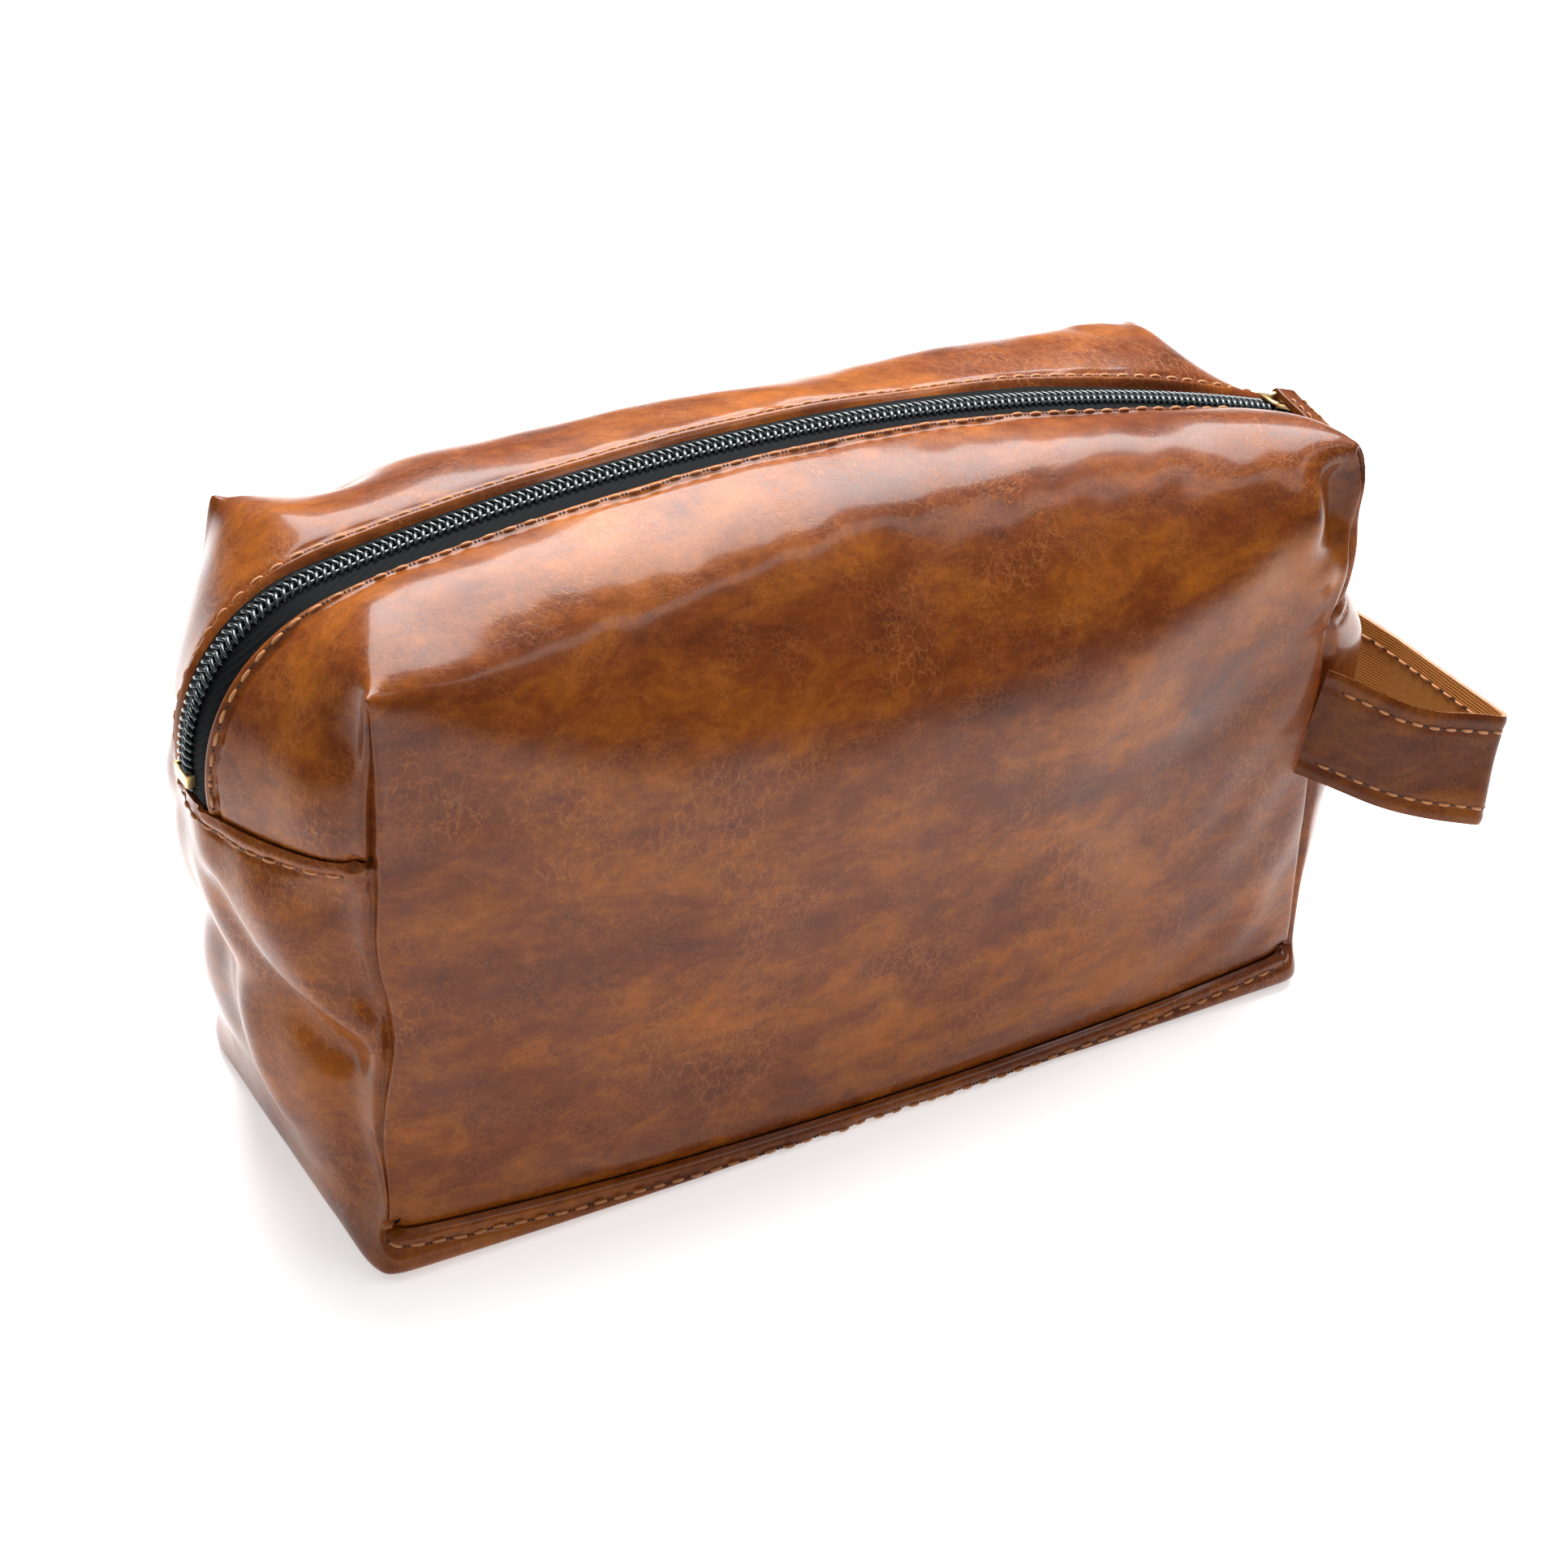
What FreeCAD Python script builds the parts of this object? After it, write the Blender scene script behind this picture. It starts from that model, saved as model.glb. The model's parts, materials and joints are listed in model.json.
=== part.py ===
import FreeCAD, Part
import math
import os

Vector = FreeCAD.Vector

# A zip-top shaving kit bag. Units are millimetres, +Z is up, X runs along the bag with the carry
# loop at +X, and the origin is the middle of the base on the table.
# Every sub-part is a layer of the soft envelope cut out by a region box, or a small hard piece.

SIZES = {
    # leather body
    "seam_length": 251.0,      # between the corner seams
    "seam_depth": 94.8,        # front face to back face
    "ridge_height": 147.0,     # fold between a face and its top half
    "crown_height": 160.0,     # highest point of the zip
    "crown_lift": 0.6,         # the section's crown clears the arch, so the zip lies on the arch
    "arch_radius": 520.0,      # the zip is an arc along the bag
    "arch_offset": -10.0,      # the arc peaks a little left of the middle
    "end_reach": 150.5,        # how far each end bulges from the middle
    "end_radius": 300.0,       # end bulge seen from the front
    "belly_height": 110.0,     # height of the widest point of the ends
    "left_shoulder": 38.0,
    "right_shoulder": 6.0,
    "base_band": 12.0,         # the base piece turns up this far at front and back
    "end_seam": 106.0,         # the base piece runs up the ends to here
    # layers, outside to inside
    "hide": 1.2,
    "lining": 0.5,
    "binding": 0.9,
    "thread_proud": 0.35,
    "thread_width": 0.8,
    "stitch_inset": 4.0,
    # zip
    "mouth_half": 7.5,         # half the gap between the leather edges
    "tape_half": 13.0,
    "coil_half": 3.2,
    "coil_gap": 0.55,          # half the gap the slider's post runs in
    "coil_proud": 0.3,
    "mouth_left": -90.0,       # the top halves open between these two
    "mouth_right": 125.0,
    "fold_depth": 45.5,        # fold line of a top half, from the middle
    "fit_gap": 0.3,
    # slider and pull
    "park_angle": 16.65,       # place of the closed slider on the arc
    "slider_length": 11.0,
    "slider_width": 9.5,
    "plate": 1.0,
    "plate_lift": 0.3,
    "plate_drop": 0.6,
    "post_width": 0.5,
    "bail_radius": 0.7,
    "bail_rise": 2.1,
    "pull_length": 26.0,
    "pull_width": 6.0,
    "pull_eye": 1.0,
    "pull_wall": 0.8,
    # carry loop
    "loop_width": 25.4,
    "loop_height": 76.4,
    "loop_pivot": 128.0,
    "loop_droop": 15.0,
    "loop_start": 124.0,
    "loop_reach": 165.0,
    "loop_skew": 68.0,
    "tab_length": 8.0,
}

FAR = 400.0                    # larger than the bag

doc = FreeCAD.newDocument("shaving_kit_bag")
sheet = doc.addObject("Spreadsheet::Sheet", "Sizes")
for row, (alias, value) in enumerate(SIZES.items(), start=1):
    sheet.set("A%d" % row, alias)
    sheet.set("B%d" % row, str(value))
    sheet.setAlias("B%d" % row, alias)
doc.recompute()

nodes = []


def size(alias):
    return float(sheet.get(alias))


def bind(obj, **expressions):
    """Bind properties of obj to expressions in the sheet's aliases; a double underscore is a dot."""
    for name, expression in expressions.items():
        obj.setExpression(name.replace("__", "."), with_sheet(expression))


def with_sheet(expression):
    """Write Sizes. before every alias of an expression."""
    words = []
    word = ""
    for letter in expression + " ":
        if letter.isalnum() or letter == "_":
            word += letter
            continue
        words.append("Sizes." + word if word in SIZES else word)
        words.append(letter)
        word = ""
    return "".join(words).strip()


def node(obj, label):
    obj.Label = label
    nodes.append(obj)
    return obj


# ---------------------------------------------------------------- the envelope and its layers

def between(centre, radius, first, last):
    """The arc of a circle in the XZ plane from first to last, the short way round."""
    middle = (first + last) * 0.5 - centre
    middle.normalize()
    return Part.Arc(first, centre + middle * radius, last).toShape()


def shoulder_centre(arch, arch_radius, end, end_radius, corner, side):
    """Centre of the corner circle that touches the arch and the end from inside."""
    reach_arch = arch_radius - corner
    reach_end = end_radius - corner
    across = end - arch
    span = across.Length
    along = (reach_arch ** 2 - reach_end ** 2 + span ** 2) / (2 * span)
    off = math.sqrt(reach_arch ** 2 - along ** 2)
    across.normalize()
    normal = Vector(-across.z, 0, across.x)
    first = arch + across * along + normal * off
    second = arch + across * along - normal * off
    return first if first.x * side > second.x * side else second


def touch(centre, radius, corner_centre):
    direction = corner_centre - centre
    direction.normalize()
    return centre + direction * radius


def side_prism(inset):
    """Front outline: flat base, bulging ends, shoulders and the long arch, extruded through Y."""
    arch = Vector(size("arch_offset"), 0, size("crown_height") - size("arch_radius"))
    arch_radius = size("arch_radius")
    end_radius = size("end_radius")
    offset = size("end_reach") - end_radius
    base = inset
    ends = {}
    for side, corner in ((-1, size("left_shoulder")), (1, size("right_shoulder"))):
        end = Vector(side * offset, 0, size("belly_height"))
        corner_centre = shoulder_centre(arch, arch_radius, end, end_radius, corner, side)
        drop = size("belly_height") - base
        foot_x = offset + math.sqrt((end_radius - inset) ** 2 - drop ** 2)
        ends[side] = {
            "foot": Vector(side * foot_x, 0, base),
            "end_touch": touch(end, end_radius - inset, corner_centre),
            "arch_touch": touch(arch, arch_radius - inset, corner_centre),
            "corner_radius": corner - inset,
            "corner_centre": corner_centre,
            "end_centre": end,
        }
    left, right = ends[-1], ends[1]
    edges = [Part.LineSegment(left["foot"], right["foot"]).toShape()]
    edges.append(between(right["end_centre"], end_radius - inset, right["foot"], right["end_touch"]))
    edges.append(between(right["corner_centre"], right["corner_radius"], right["end_touch"],
                         right["arch_touch"]))
    edges.append(between(arch, arch_radius - inset, right["arch_touch"], left["arch_touch"]))
    edges.append(between(left["corner_centre"], left["corner_radius"], left["arch_touch"],
                         left["end_touch"]))
    edges.append(between(left["end_centre"], end_radius - inset, left["end_touch"], left["foot"]))
    face = Part.Face(Part.Wire(Part.__sortEdges__(edges)))
    face.translate(Vector(0, -FAR / 2, 0))
    return face.extrude(Vector(0, FAR, 0))


def plan_prism(inset):
    """Plan: a rectangle between the corner seams with a round bulge at each end."""
    half_depth = size("seam_depth") / 2
    seam = size("seam_length") / 2
    sag = size("end_reach") - seam
    bulge = (half_depth ** 2 + sag ** 2) / (2 * sag)
    depth = half_depth - inset
    centre_x = size("end_reach") - bulge
    corner_x = centre_x + math.sqrt((bulge - inset) ** 2 - depth ** 2)
    corners = [Vector(-corner_x, -depth, 0), Vector(corner_x, -depth, 0),
               Vector(corner_x, depth, 0), Vector(-corner_x, depth, 0)]
    edges = [
        Part.LineSegment(corners[0], corners[1]).toShape(),
        Part.Arc(corners[1], Vector(size("end_reach") - inset, 0, 0), corners[2]).toShape(),
        Part.LineSegment(corners[2], corners[3]).toShape(),
        Part.Arc(corners[3], Vector(inset - size("end_reach"), 0, 0), corners[0]).toShape(),
    ]
    face = Part.Face(Part.Wire(edges))
    face.translate(Vector(0, 0, -FAR / 4))
    return face.extrude(Vector(0, 0, FAR))


def crown_prism(inset):
    """Section across the bag: upright sides under a low crown from front ridge to back ridge."""
    half_depth = size("seam_depth") / 2
    top = size("crown_height") + size("crown_lift")
    rise = top - size("ridge_height")
    radius = (half_depth ** 2 + rise ** 2) / (2 * rise)
    side = half_depth + 5
    shoulder = top - radius + math.sqrt((radius - inset) ** 2 - side ** 2)
    arc = Part.Arc(Vector(0, side, shoulder), Vector(0, 0, top - inset),
                   Vector(0, -side, shoulder)).toShape()
    rest = Part.makePolygon([Vector(0, -side, shoulder), Vector(0, -side, -5), Vector(0, side, -5),
                             Vector(0, side, shoulder)])
    face = Part.Face(Part.Wire(rest.Edges + [arc]))
    face.translate(Vector(-FAR / 2, 0, 0))
    return face.extrude(Vector(FAR, 0, 0))


def envelope(name, inset):
    """The bag's soft outer form, moved inwards by inset."""
    feature = doc.addObject("Part::Feature", name)
    shape = side_prism(inset).common(plan_prism(inset)).common(crown_prism(inset))
    feature.Shape = shape
    return feature


def layer(name, outer, inner):
    cut = doc.addObject("Part::Cut", name)
    cut.Base = outer
    cut.Tool = inner
    return cut


def box(name, low, high):
    """A region box between two corners, each given as three expressions."""
    region = doc.addObject("Part::Box", name)
    bind(region, Placement__Base__x=low[0], Placement__Base__y=low[1], Placement__Base__z=low[2])
    bind(region, Length="(%s) - (%s)" % (high[0], low[0]))
    bind(region, Width="(%s) - (%s)" % (high[1], low[1]))
    bind(region, Height="(%s) - (%s)" % (high[2], low[2]))
    return region


def fuse(name, shapes):
    joined = doc.addObject("Part::MultiFuse", name)
    joined.Shapes = shapes
    return joined


def common(name, base, tool):
    both = doc.addObject("Part::Common", name)
    both.Base = base
    both.Tool = tool
    return both


def cut(name, base, tool):
    rest = doc.addObject("Part::Cut", name)
    rest.Base = base
    rest.Tool = tool
    return rest


hide = size("hide")
lining = size("lining")
skin_thread = envelope("skin_thread", -size("thread_proud"))
skin_coil = envelope("skin_coil", -size("coil_proud"))
skin_stop = envelope("skin_stop", -size("coil_proud") - size("plate") / 2)
skin_outer = envelope("skin_outer", 0.0)
skin_hide = envelope("skin_hide", hide)
skin_lining = envelope("skin_lining", hide + lining)
skin_binding = envelope("skin_binding", hide + lining + size("binding"))

thread_layer = layer("thread_layer", skin_thread, skin_outer)
coil_layer = layer("coil_layer", skin_coil, skin_hide)
stop_layer = layer("stop_layer", skin_stop, skin_coil)
hide_layer = layer("hide_layer", skin_outer, skin_hide)
lining_layer = layer("lining_layer", skin_hide, skin_lining)
binding_layer = layer("binding_layer", skin_lining, skin_binding)

LOW = "-200"
HIGH = "200"
SEAM = "seam_length / 2"
FACE = "seam_depth / 2"


# ---------------------------------------------------------------- leather and lining of the fixed bag

def base_region(name):
    """The base piece: the bottom, a low band at front and back, and the lower part of both ends."""
    floor = box(name + "_floor", (LOW, LOW, "-1"), (HIGH, HIGH, "base_band"))
    left = box(name + "_left", (LOW, LOW, "-1"), ("-seam_length / 2", HIGH, "end_seam"))
    right = box(name + "_right", (SEAM, LOW, "-1"), (HIGH, HIGH, "end_seam"))
    return fuse(name, [floor, left, right])


def half_region(name, side, inner):
    """Everything in front of (side -1) or behind (side 1) the zip, from inner outwards."""
    if side < 0:
        return box(name, (LOW, LOW, "base_band"), (HIGH, "-(%s)" % inner, HIGH))
    return box(name, (LOW, inner, "base_band"), (HIGH, HIGH, HIGH))


def mouth_region(name, side, near, far, gap):
    """The part of a top half that opens, from near to far beside the zip, widened by gap."""
    x_low = "mouth_left - %s" % gap
    x_high = "mouth_right + %s" % gap
    if side < 0:
        return box(name, (x_low, "-(%s)" % far, "end_seam"), (x_high, "-(%s)" % near, HIGH))
    return box(name, (x_low, near, "end_seam"), (x_high, far, HIGH))


def fixed_panel(label, source, side, inner):
    """One fixed front or back piece of a layer: the face, the hips and the upper end flap."""
    half = common(label + "_half", source, half_region(label + "_region", side, inner))
    opening = mouth_region(label + "_mouth", side, "0", "fold_depth + fit_gap", "fit_gap")
    away = fuse(label + "_away", [base_region(label + "_base"), opening])
    return node(cut(label, half, away), label)


def top_piece(label, source, side, near, far):
    """The same layer of the top half that opens."""
    region = mouth_region(label + "_region", side, near, far, "0")
    return node(common(label, source, region), label)


def base_piece(label, source):
    return node(common(label, source, base_region(label + "_region")), label)


def leather_and_lining():
    base_piece("base_panel", hide_layer)
    base_piece("base_lining", lining_layer)
    for side, word in ((-1, "front"), (1, "back")):
        fixed_panel(word + "_panel", hide_layer, side, "mouth_half")
        fixed_panel(word + "_lining", lining_layer, side, "tape_half")
        top_piece(word + "_top_panel", hide_layer, side, "mouth_half", "fold_depth")
        top_piece(word + "_top_lining", lining_layer, side, "tape_half", "fold_depth")


# ---------------------------------------------------------------- bindings and stitching

def corner_bindings():
    """Binding tape folded over the allowance of each corner seam, inside the bag."""
    for side_x, word_x in ((-1, "left"), (1, "right")):
        for side_y, word_y in ((-1, "front"), (1, "back")):
            label = "%s_%s_binding" % (word_y, word_x)
            xs = sorted((side_x * 0.9, side_x * 1.1))
            ys = sorted((side_y * 0.8, side_y * 1.1))
            low = ("%g * seam_length / 2" % xs[0], "%g * seam_depth / 2" % ys[0], "2 * base_band")
            high = ("%g * seam_length / 2" % xs[1], "%g * seam_depth / 2" % ys[1], "end_seam")
            node(common(label, binding_layer, box(label + "_region", low, high)), label)


def end_bindings():
    """Binding tape over the seam between the upper end flaps and the base piece."""
    for side, word in ((-1, "left"), (1, "right")):
        label = word + "_end_binding"
        xs = sorted((side * 1.04, side * 2.0))
        low = ("%g * seam_length / 2" % xs[0], "-0.7 * seam_depth / 2", "end_seam + 1")
        high = ("%g * seam_length / 2" % xs[1], "0.7 * seam_depth / 2", "end_seam + 7")
        node(common(label, binding_layer, box(label + "_region", low, high)), label)


def base_bindings():
    for side, word in ((-1, "front"), (1, "back")):
        label = word + "_base_binding"
        ys = sorted((side * 0.8, side * 1.1))
        low = ("-0.85 * seam_length / 2", "%g * seam_depth / 2" % ys[0], "base_band - 4")
        high = ("0.85 * seam_length / 2", "%g * seam_depth / 2" % ys[1], "base_band + 4")
        node(common(label, binding_layer, box(label + "_region", low, high)), label)


def base_threads():
    """The row of stitches along the folded edge of the base band, front and back."""
    for side, word in ((-1, "front"), (1, "back")):
        label = word + "_base_thread"
        ys = sorted((side * 0.9, side * 1.1))
        low = ("-0.97 * seam_length / 2", "%g * seam_depth / 2" % ys[0],
               "base_band - stitch_inset")
        high = ("0.97 * seam_length / 2", "%g * seam_depth / 2" % ys[1],
                "base_band - stitch_inset + thread_width")
        node(common(label, thread_layer, box(label + "_region", low, high)), label)


def end_threads():
    for side, word in ((-1, "left"), (1, "right")):
        label = word + "_end_thread"
        xs = sorted((side * 1.01, side * 2.0))
        low = ("%g * seam_length / 2" % xs[0], LOW, "end_seam - stitch_inset")
        high = ("%g * seam_length / 2" % xs[1], HIGH, "end_seam - stitch_inset + thread_width")
        node(common(label, thread_layer, box(label + "_region", low, high)), label)


# ---------------------------------------------------------------- zip

def end_boxes(name, side, near, far, gap="fit_gap"):
    """The two fixed stretches of a zip strip, left and right of the part that opens."""
    ys = ("-(%s)" % far, "-(%s)" % near) if side < 0 else (near, far)
    foot = "end_seam + fit_gap"
    left = box(name + "_left", (LOW, ys[0], foot), ("mouth_left - %s" % gap, ys[1], HIGH))
    right = box(name + "_right", ("mouth_right + %s" % gap, ys[0], foot), (HIGH, ys[1], HIGH))
    return fuse(name, [left, right])


def zip_strips():
    """Tape, coil and stitching on both sides of the zip: fixed ends and the part that opens."""
    row = "mouth_half + stitch_inset"
    strips = (
        ("zip_tape", lining_layer, "coil_gap", "tape_half"),
        ("zip_coil", coil_layer, "coil_gap", "coil_half"),
        ("zip_thread", thread_layer, row, row + " + thread_width"),
    )
    for side, word in ((-1, "front"), (1, "back")):
        for kind, source, near, far in strips:
            ends = "%s_%s_ends" % (word, kind)
            node(common(ends, source, end_boxes(ends + "_region", side, near, far)), ends)
            top_piece("%s_%s" % (word, kind), source, side, near, far)


def zip_stops():
    """A staple across the coil at each end of the zip."""
    for side, word in ((-1, "bottom"), (1, "top")):
        label = "zip_%s_stop" % word
        xs = sorted((side * 1.0, side * 2.0))
        low = ("%g * seam_length / 2" % xs[0], "-coil_half", "end_seam + 1.5")
        high = ("%g * seam_length / 2" % xs[1], "coil_half", "end_seam + 4")
        node(common(label, stop_layer, box(label + "_region", low, high)), label)


# ---------------------------------------------------------------- slider and pull

def park(obj):
    """Carry a piece built over the arc's centre to the closed slider's place on the arc."""
    obj.Placement = FreeCAD.Placement(Vector(), FreeCAD.Rotation(Vector(0, 1, 0), 0))
    bind(obj, Placement__Base__x="arch_offset", Placement__Base__z="crown_height - arch_radius")
    bind(obj, Placement__Rotation__Angle="park_angle")


def ring(name, inner, outer):
    """A band between two radii about the arc's centre."""
    rings = []
    for word, radius in (("_out", outer), ("_in", inner)):
        drum = doc.addObject("Part::Cylinder", name + word)
        drum.Placement = FreeCAD.Placement(Vector(), FreeCAD.Rotation(Vector(1, 0, 0), 90))
        bind(drum, Radius=radius, Height="2 * slider_width", Placement__Base__y="slider_width")
        rings.append(drum)
    return cut(name, rings[0], rings[1])


def slider():
    """Two curved plates above and below the coil, joined by a thin post in the coil's gap."""
    top_low = "arch_radius + coil_proud + plate_lift"
    top_high = top_low + " + plate"
    under_high = "arch_radius - hide - lining - plate_drop"
    under_low = under_high + " - plate"
    trim = box("slider_trim", ("-slider_length / 2", "-slider_width / 2", "arch_radius - 20"),
               ("slider_length / 2", "slider_width / 2", "arch_radius + 20"))
    plates = fuse("slider_plates", [ring("slider_top", top_low, top_high),
                                    ring("slider_under", under_low, under_high)])
    post = box("slider_post", ("slider_length / 4", "-post_width / 2", under_low + " + plate / 2"),
               ("slider_length / 4 + 2", "post_width / 2", top_high + " - plate / 2"))
    body = fuse("zip_slider", [common("slider_trimmed", plates, trim), post])
    park(body)
    node(body, "zip_slider")
    return top_high


def bail(plate_top):
    """The bridge on the slider: a round bar along it on two short legs."""
    bar_height = "arch_radius + bail_rise + coil_proud + plate_lift + plate"
    bar = doc.addObject("Part::Cylinder", "bail_bar")
    bar.Placement = FreeCAD.Placement(Vector(), FreeCAD.Rotation(Vector(0, 1, 0), 90))
    bind(bar, Radius="bail_radius", Height="slider_length - 1")
    bind(bar, Placement__Base__x="-(slider_length - 1) / 2", Placement__Base__z=bar_height)
    legs = []
    for side, word in ((-1, "tail"), (1, "nose")):
        inner = "%d * (slider_length / 2 - 1.7)" % side
        outer = "%d * (slider_length / 2 - 0.5)" % side
        low_x, high_x = (outer, inner) if side < 0 else (inner, outer)
        legs.append(box("bail_leg_" + word, (low_x, "-bail_radius", plate_top),
                        (high_x, "bail_radius", bar_height)))
    bridge = fuse("slider_bail", [bar] + legs)
    park(bridge)
    node(bridge, "slider_bail")
    return bar_height


def pull(bar_height):
    """A leather strip looped round the bail and stitched to itself, lying over the front."""
    outer = "pull_eye + pull_wall"
    eye = []
    for word, radius in (("_out", outer), ("_in", "pull_eye")):
        drum = doc.addObject("Part::Cylinder", "pull_eye" + word)
        drum.Placement = FreeCAD.Placement(Vector(), FreeCAD.Rotation(Vector(0, 1, 0), 90))
        bind(drum, Radius=radius, Height="pull_width")
        bind(drum, Placement__Base__x="-pull_width / 2", Placement__Base__z=bar_height)
        eye.append(drum)
    tongue = box("pull_tongue", ("-pull_width / 2", "-pull_length", bar_height + " - pull_wall"),
                 ("pull_width / 2", "-pull_eye - pull_wall / 2", bar_height + " + pull_wall"))
    strip = cut("zip_pull", fuse("pull_blank", [eye[0], tongue]), eye[1])
    park(strip)
    node(strip, "zip_pull")
    rows = []
    for side, word in ((-1, "_tail"), (1, "_nose")):
        middle = "%d * (pull_width / 2 - 1.2)" % side
        rows.append(box("pull_thread" + word,
                        (middle + " - 0.3", "2 - pull_length", bar_height + " + pull_wall"),
                        (middle + " + 0.3", "-2 * pull_eye - 2 * pull_wall",
                         bar_height + " + pull_wall + thread_proud")))
    threads = fuse("pull_thread", rows)
    park(threads)
    node(threads, "pull_thread")


# ---------------------------------------------------------------- carry loop

def loop_route():
    """Plan of the carry loop: off the front seam, a sharp fold, and back behind the end bulge."""
    start = size("loop_start")
    reach = size("loop_reach")
    side = size("seam_depth") / 2 + 3.6
    return [
        Vector(start, -side, 0),
        Vector(start + size("tab_length"), -side - 1, 0),
        Vector(reach, -size("loop_skew"), 0),
        Vector(reach - 5, -25, 0),
        Vector(reach - 8, 5, 0),
        Vector(reach - 10, 25, 0),
        Vector(reach - 18, 41, 0),
        Vector(start + size("tab_length") + 4, side, 0),
        Vector(start, side, 0),
    ]


def shifted(route, distance):
    """The route moved sideways by distance, mitred at its corners."""
    moved = []
    for index, point in enumerate(route):
        normals = []
        for first, second in ((index - 1, index), (index, index + 1)):
            if first < 0 or second >= len(route):
                continue
            along = route[second] - route[first]
            along.normalize()
            normals.append(Vector(along.y, -along.x, 0))
        normal = normals[0] + normals[-1]
        normal.normalize()
        moved.append(point + normal * (distance / normal.dot(normals[0])))
    return moved


def band(inner, outer, middle, width):
    """An upright band along the route between two sideways distances."""
    route = loop_route()
    ring_points = shifted(route, inner) + list(reversed(shifted(route, outer)))
    face = Part.Face(Part.makePolygon(ring_points + ring_points[:1]))
    face.translate(Vector(0, 0, middle - width / 2))
    return face.extrude(Vector(0, 0, width))


def droop(feature):
    """Tip a piece of the loop about the line through its two ends."""
    pivot = Vector(size("loop_pivot"), 0, size("loop_height"))
    turn = FreeCAD.Rotation(Vector(0, 1, 0), size("loop_droop"))
    feature.Placement = FreeCAD.Placement(Vector(), turn, pivot)


def carry_loop():
    middle = size("loop_height")
    width = size("loop_width")
    lift = width / 2 - size("stitch_inset")
    outer = hide
    pieces = (
        ("loop_leather", 0.0, outer, middle, width),
        ("loop_lining", -lining, 0.0, middle, width),
        ("loop_upper_thread", outer, outer + size("thread_proud"), middle + lift,
         size("thread_width")),
        ("loop_lower_thread", outer, outer + size("thread_proud"), middle - lift,
         size("thread_width")),
    )
    for label, inner, far, height, tall in pieces:
        feature = doc.addObject("Part::Feature", label)
        feature.Shape = band(inner, far, height, tall)
        droop(feature)
        node(feature, label)


def loop_tabs():
    """The two ends of the loop that are caught in the corner seams."""
    for side, word in ((-1, "front"), (1, "back")):
        label = "loop_%s_tab" % word
        near = FACE
        far = FACE + " + hide + lining"
        ys = ("-(%s)" % far, "-(%s)" % near) if side < 0 else (near, far)
        node(box(label, ("loop_start", ys[0], "loop_height - loop_width / 2"),
                 ("loop_start + tab_length", ys[1], "loop_height + loop_width / 2")), label)


# ---------------------------------------------------------------- build, check and write

leather_and_lining()
corner_bindings()
end_bindings()
base_bindings()
base_threads()
end_threads()
zip_strips()
zip_stops()
plate_top = slider()
bar_height = bail(plate_top)
pull(bar_height)
carry_loop()
loop_tabs()
doc.recompute()

for obj in doc.Objects:
    if "Invalid" in obj.State or "Error" in obj.State:
        raise RuntimeError("%s did not build: %s" % (obj.Name, obj.State))
for obj in nodes:
    if obj.Shape.isNull() or not obj.Shape.isValid() or not obj.Shape.Solids:
        raise RuntimeError("%s has no valid solid" % obj.Label)

os.makedirs("parts", exist_ok=True)
for obj in nodes:
    obj.Shape.exportStep("parts/%s.step" % obj.Label)
    box_of = obj.Shape.BoundBox
    print("%-24s %d solid(s) %8.1f mm3  x %.1f..%.1f y %.1f..%.1f z %.1f..%.1f" % (
        obj.Label, len(obj.Shape.Solids), obj.Shape.Volume, box_of.XMin, box_of.XMax,
        box_of.YMin, box_of.YMax, box_of.ZMin, box_of.ZMax))
print(len(nodes), "nodes")
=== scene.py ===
import json
import math
from contextlib import contextmanager

import bmesh
import bpy
import numpy as np
from mathutils import Matrix, Vector
from mathutils.bvhtree import BVHTree
from mathutils.kdtree import KDTree

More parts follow.
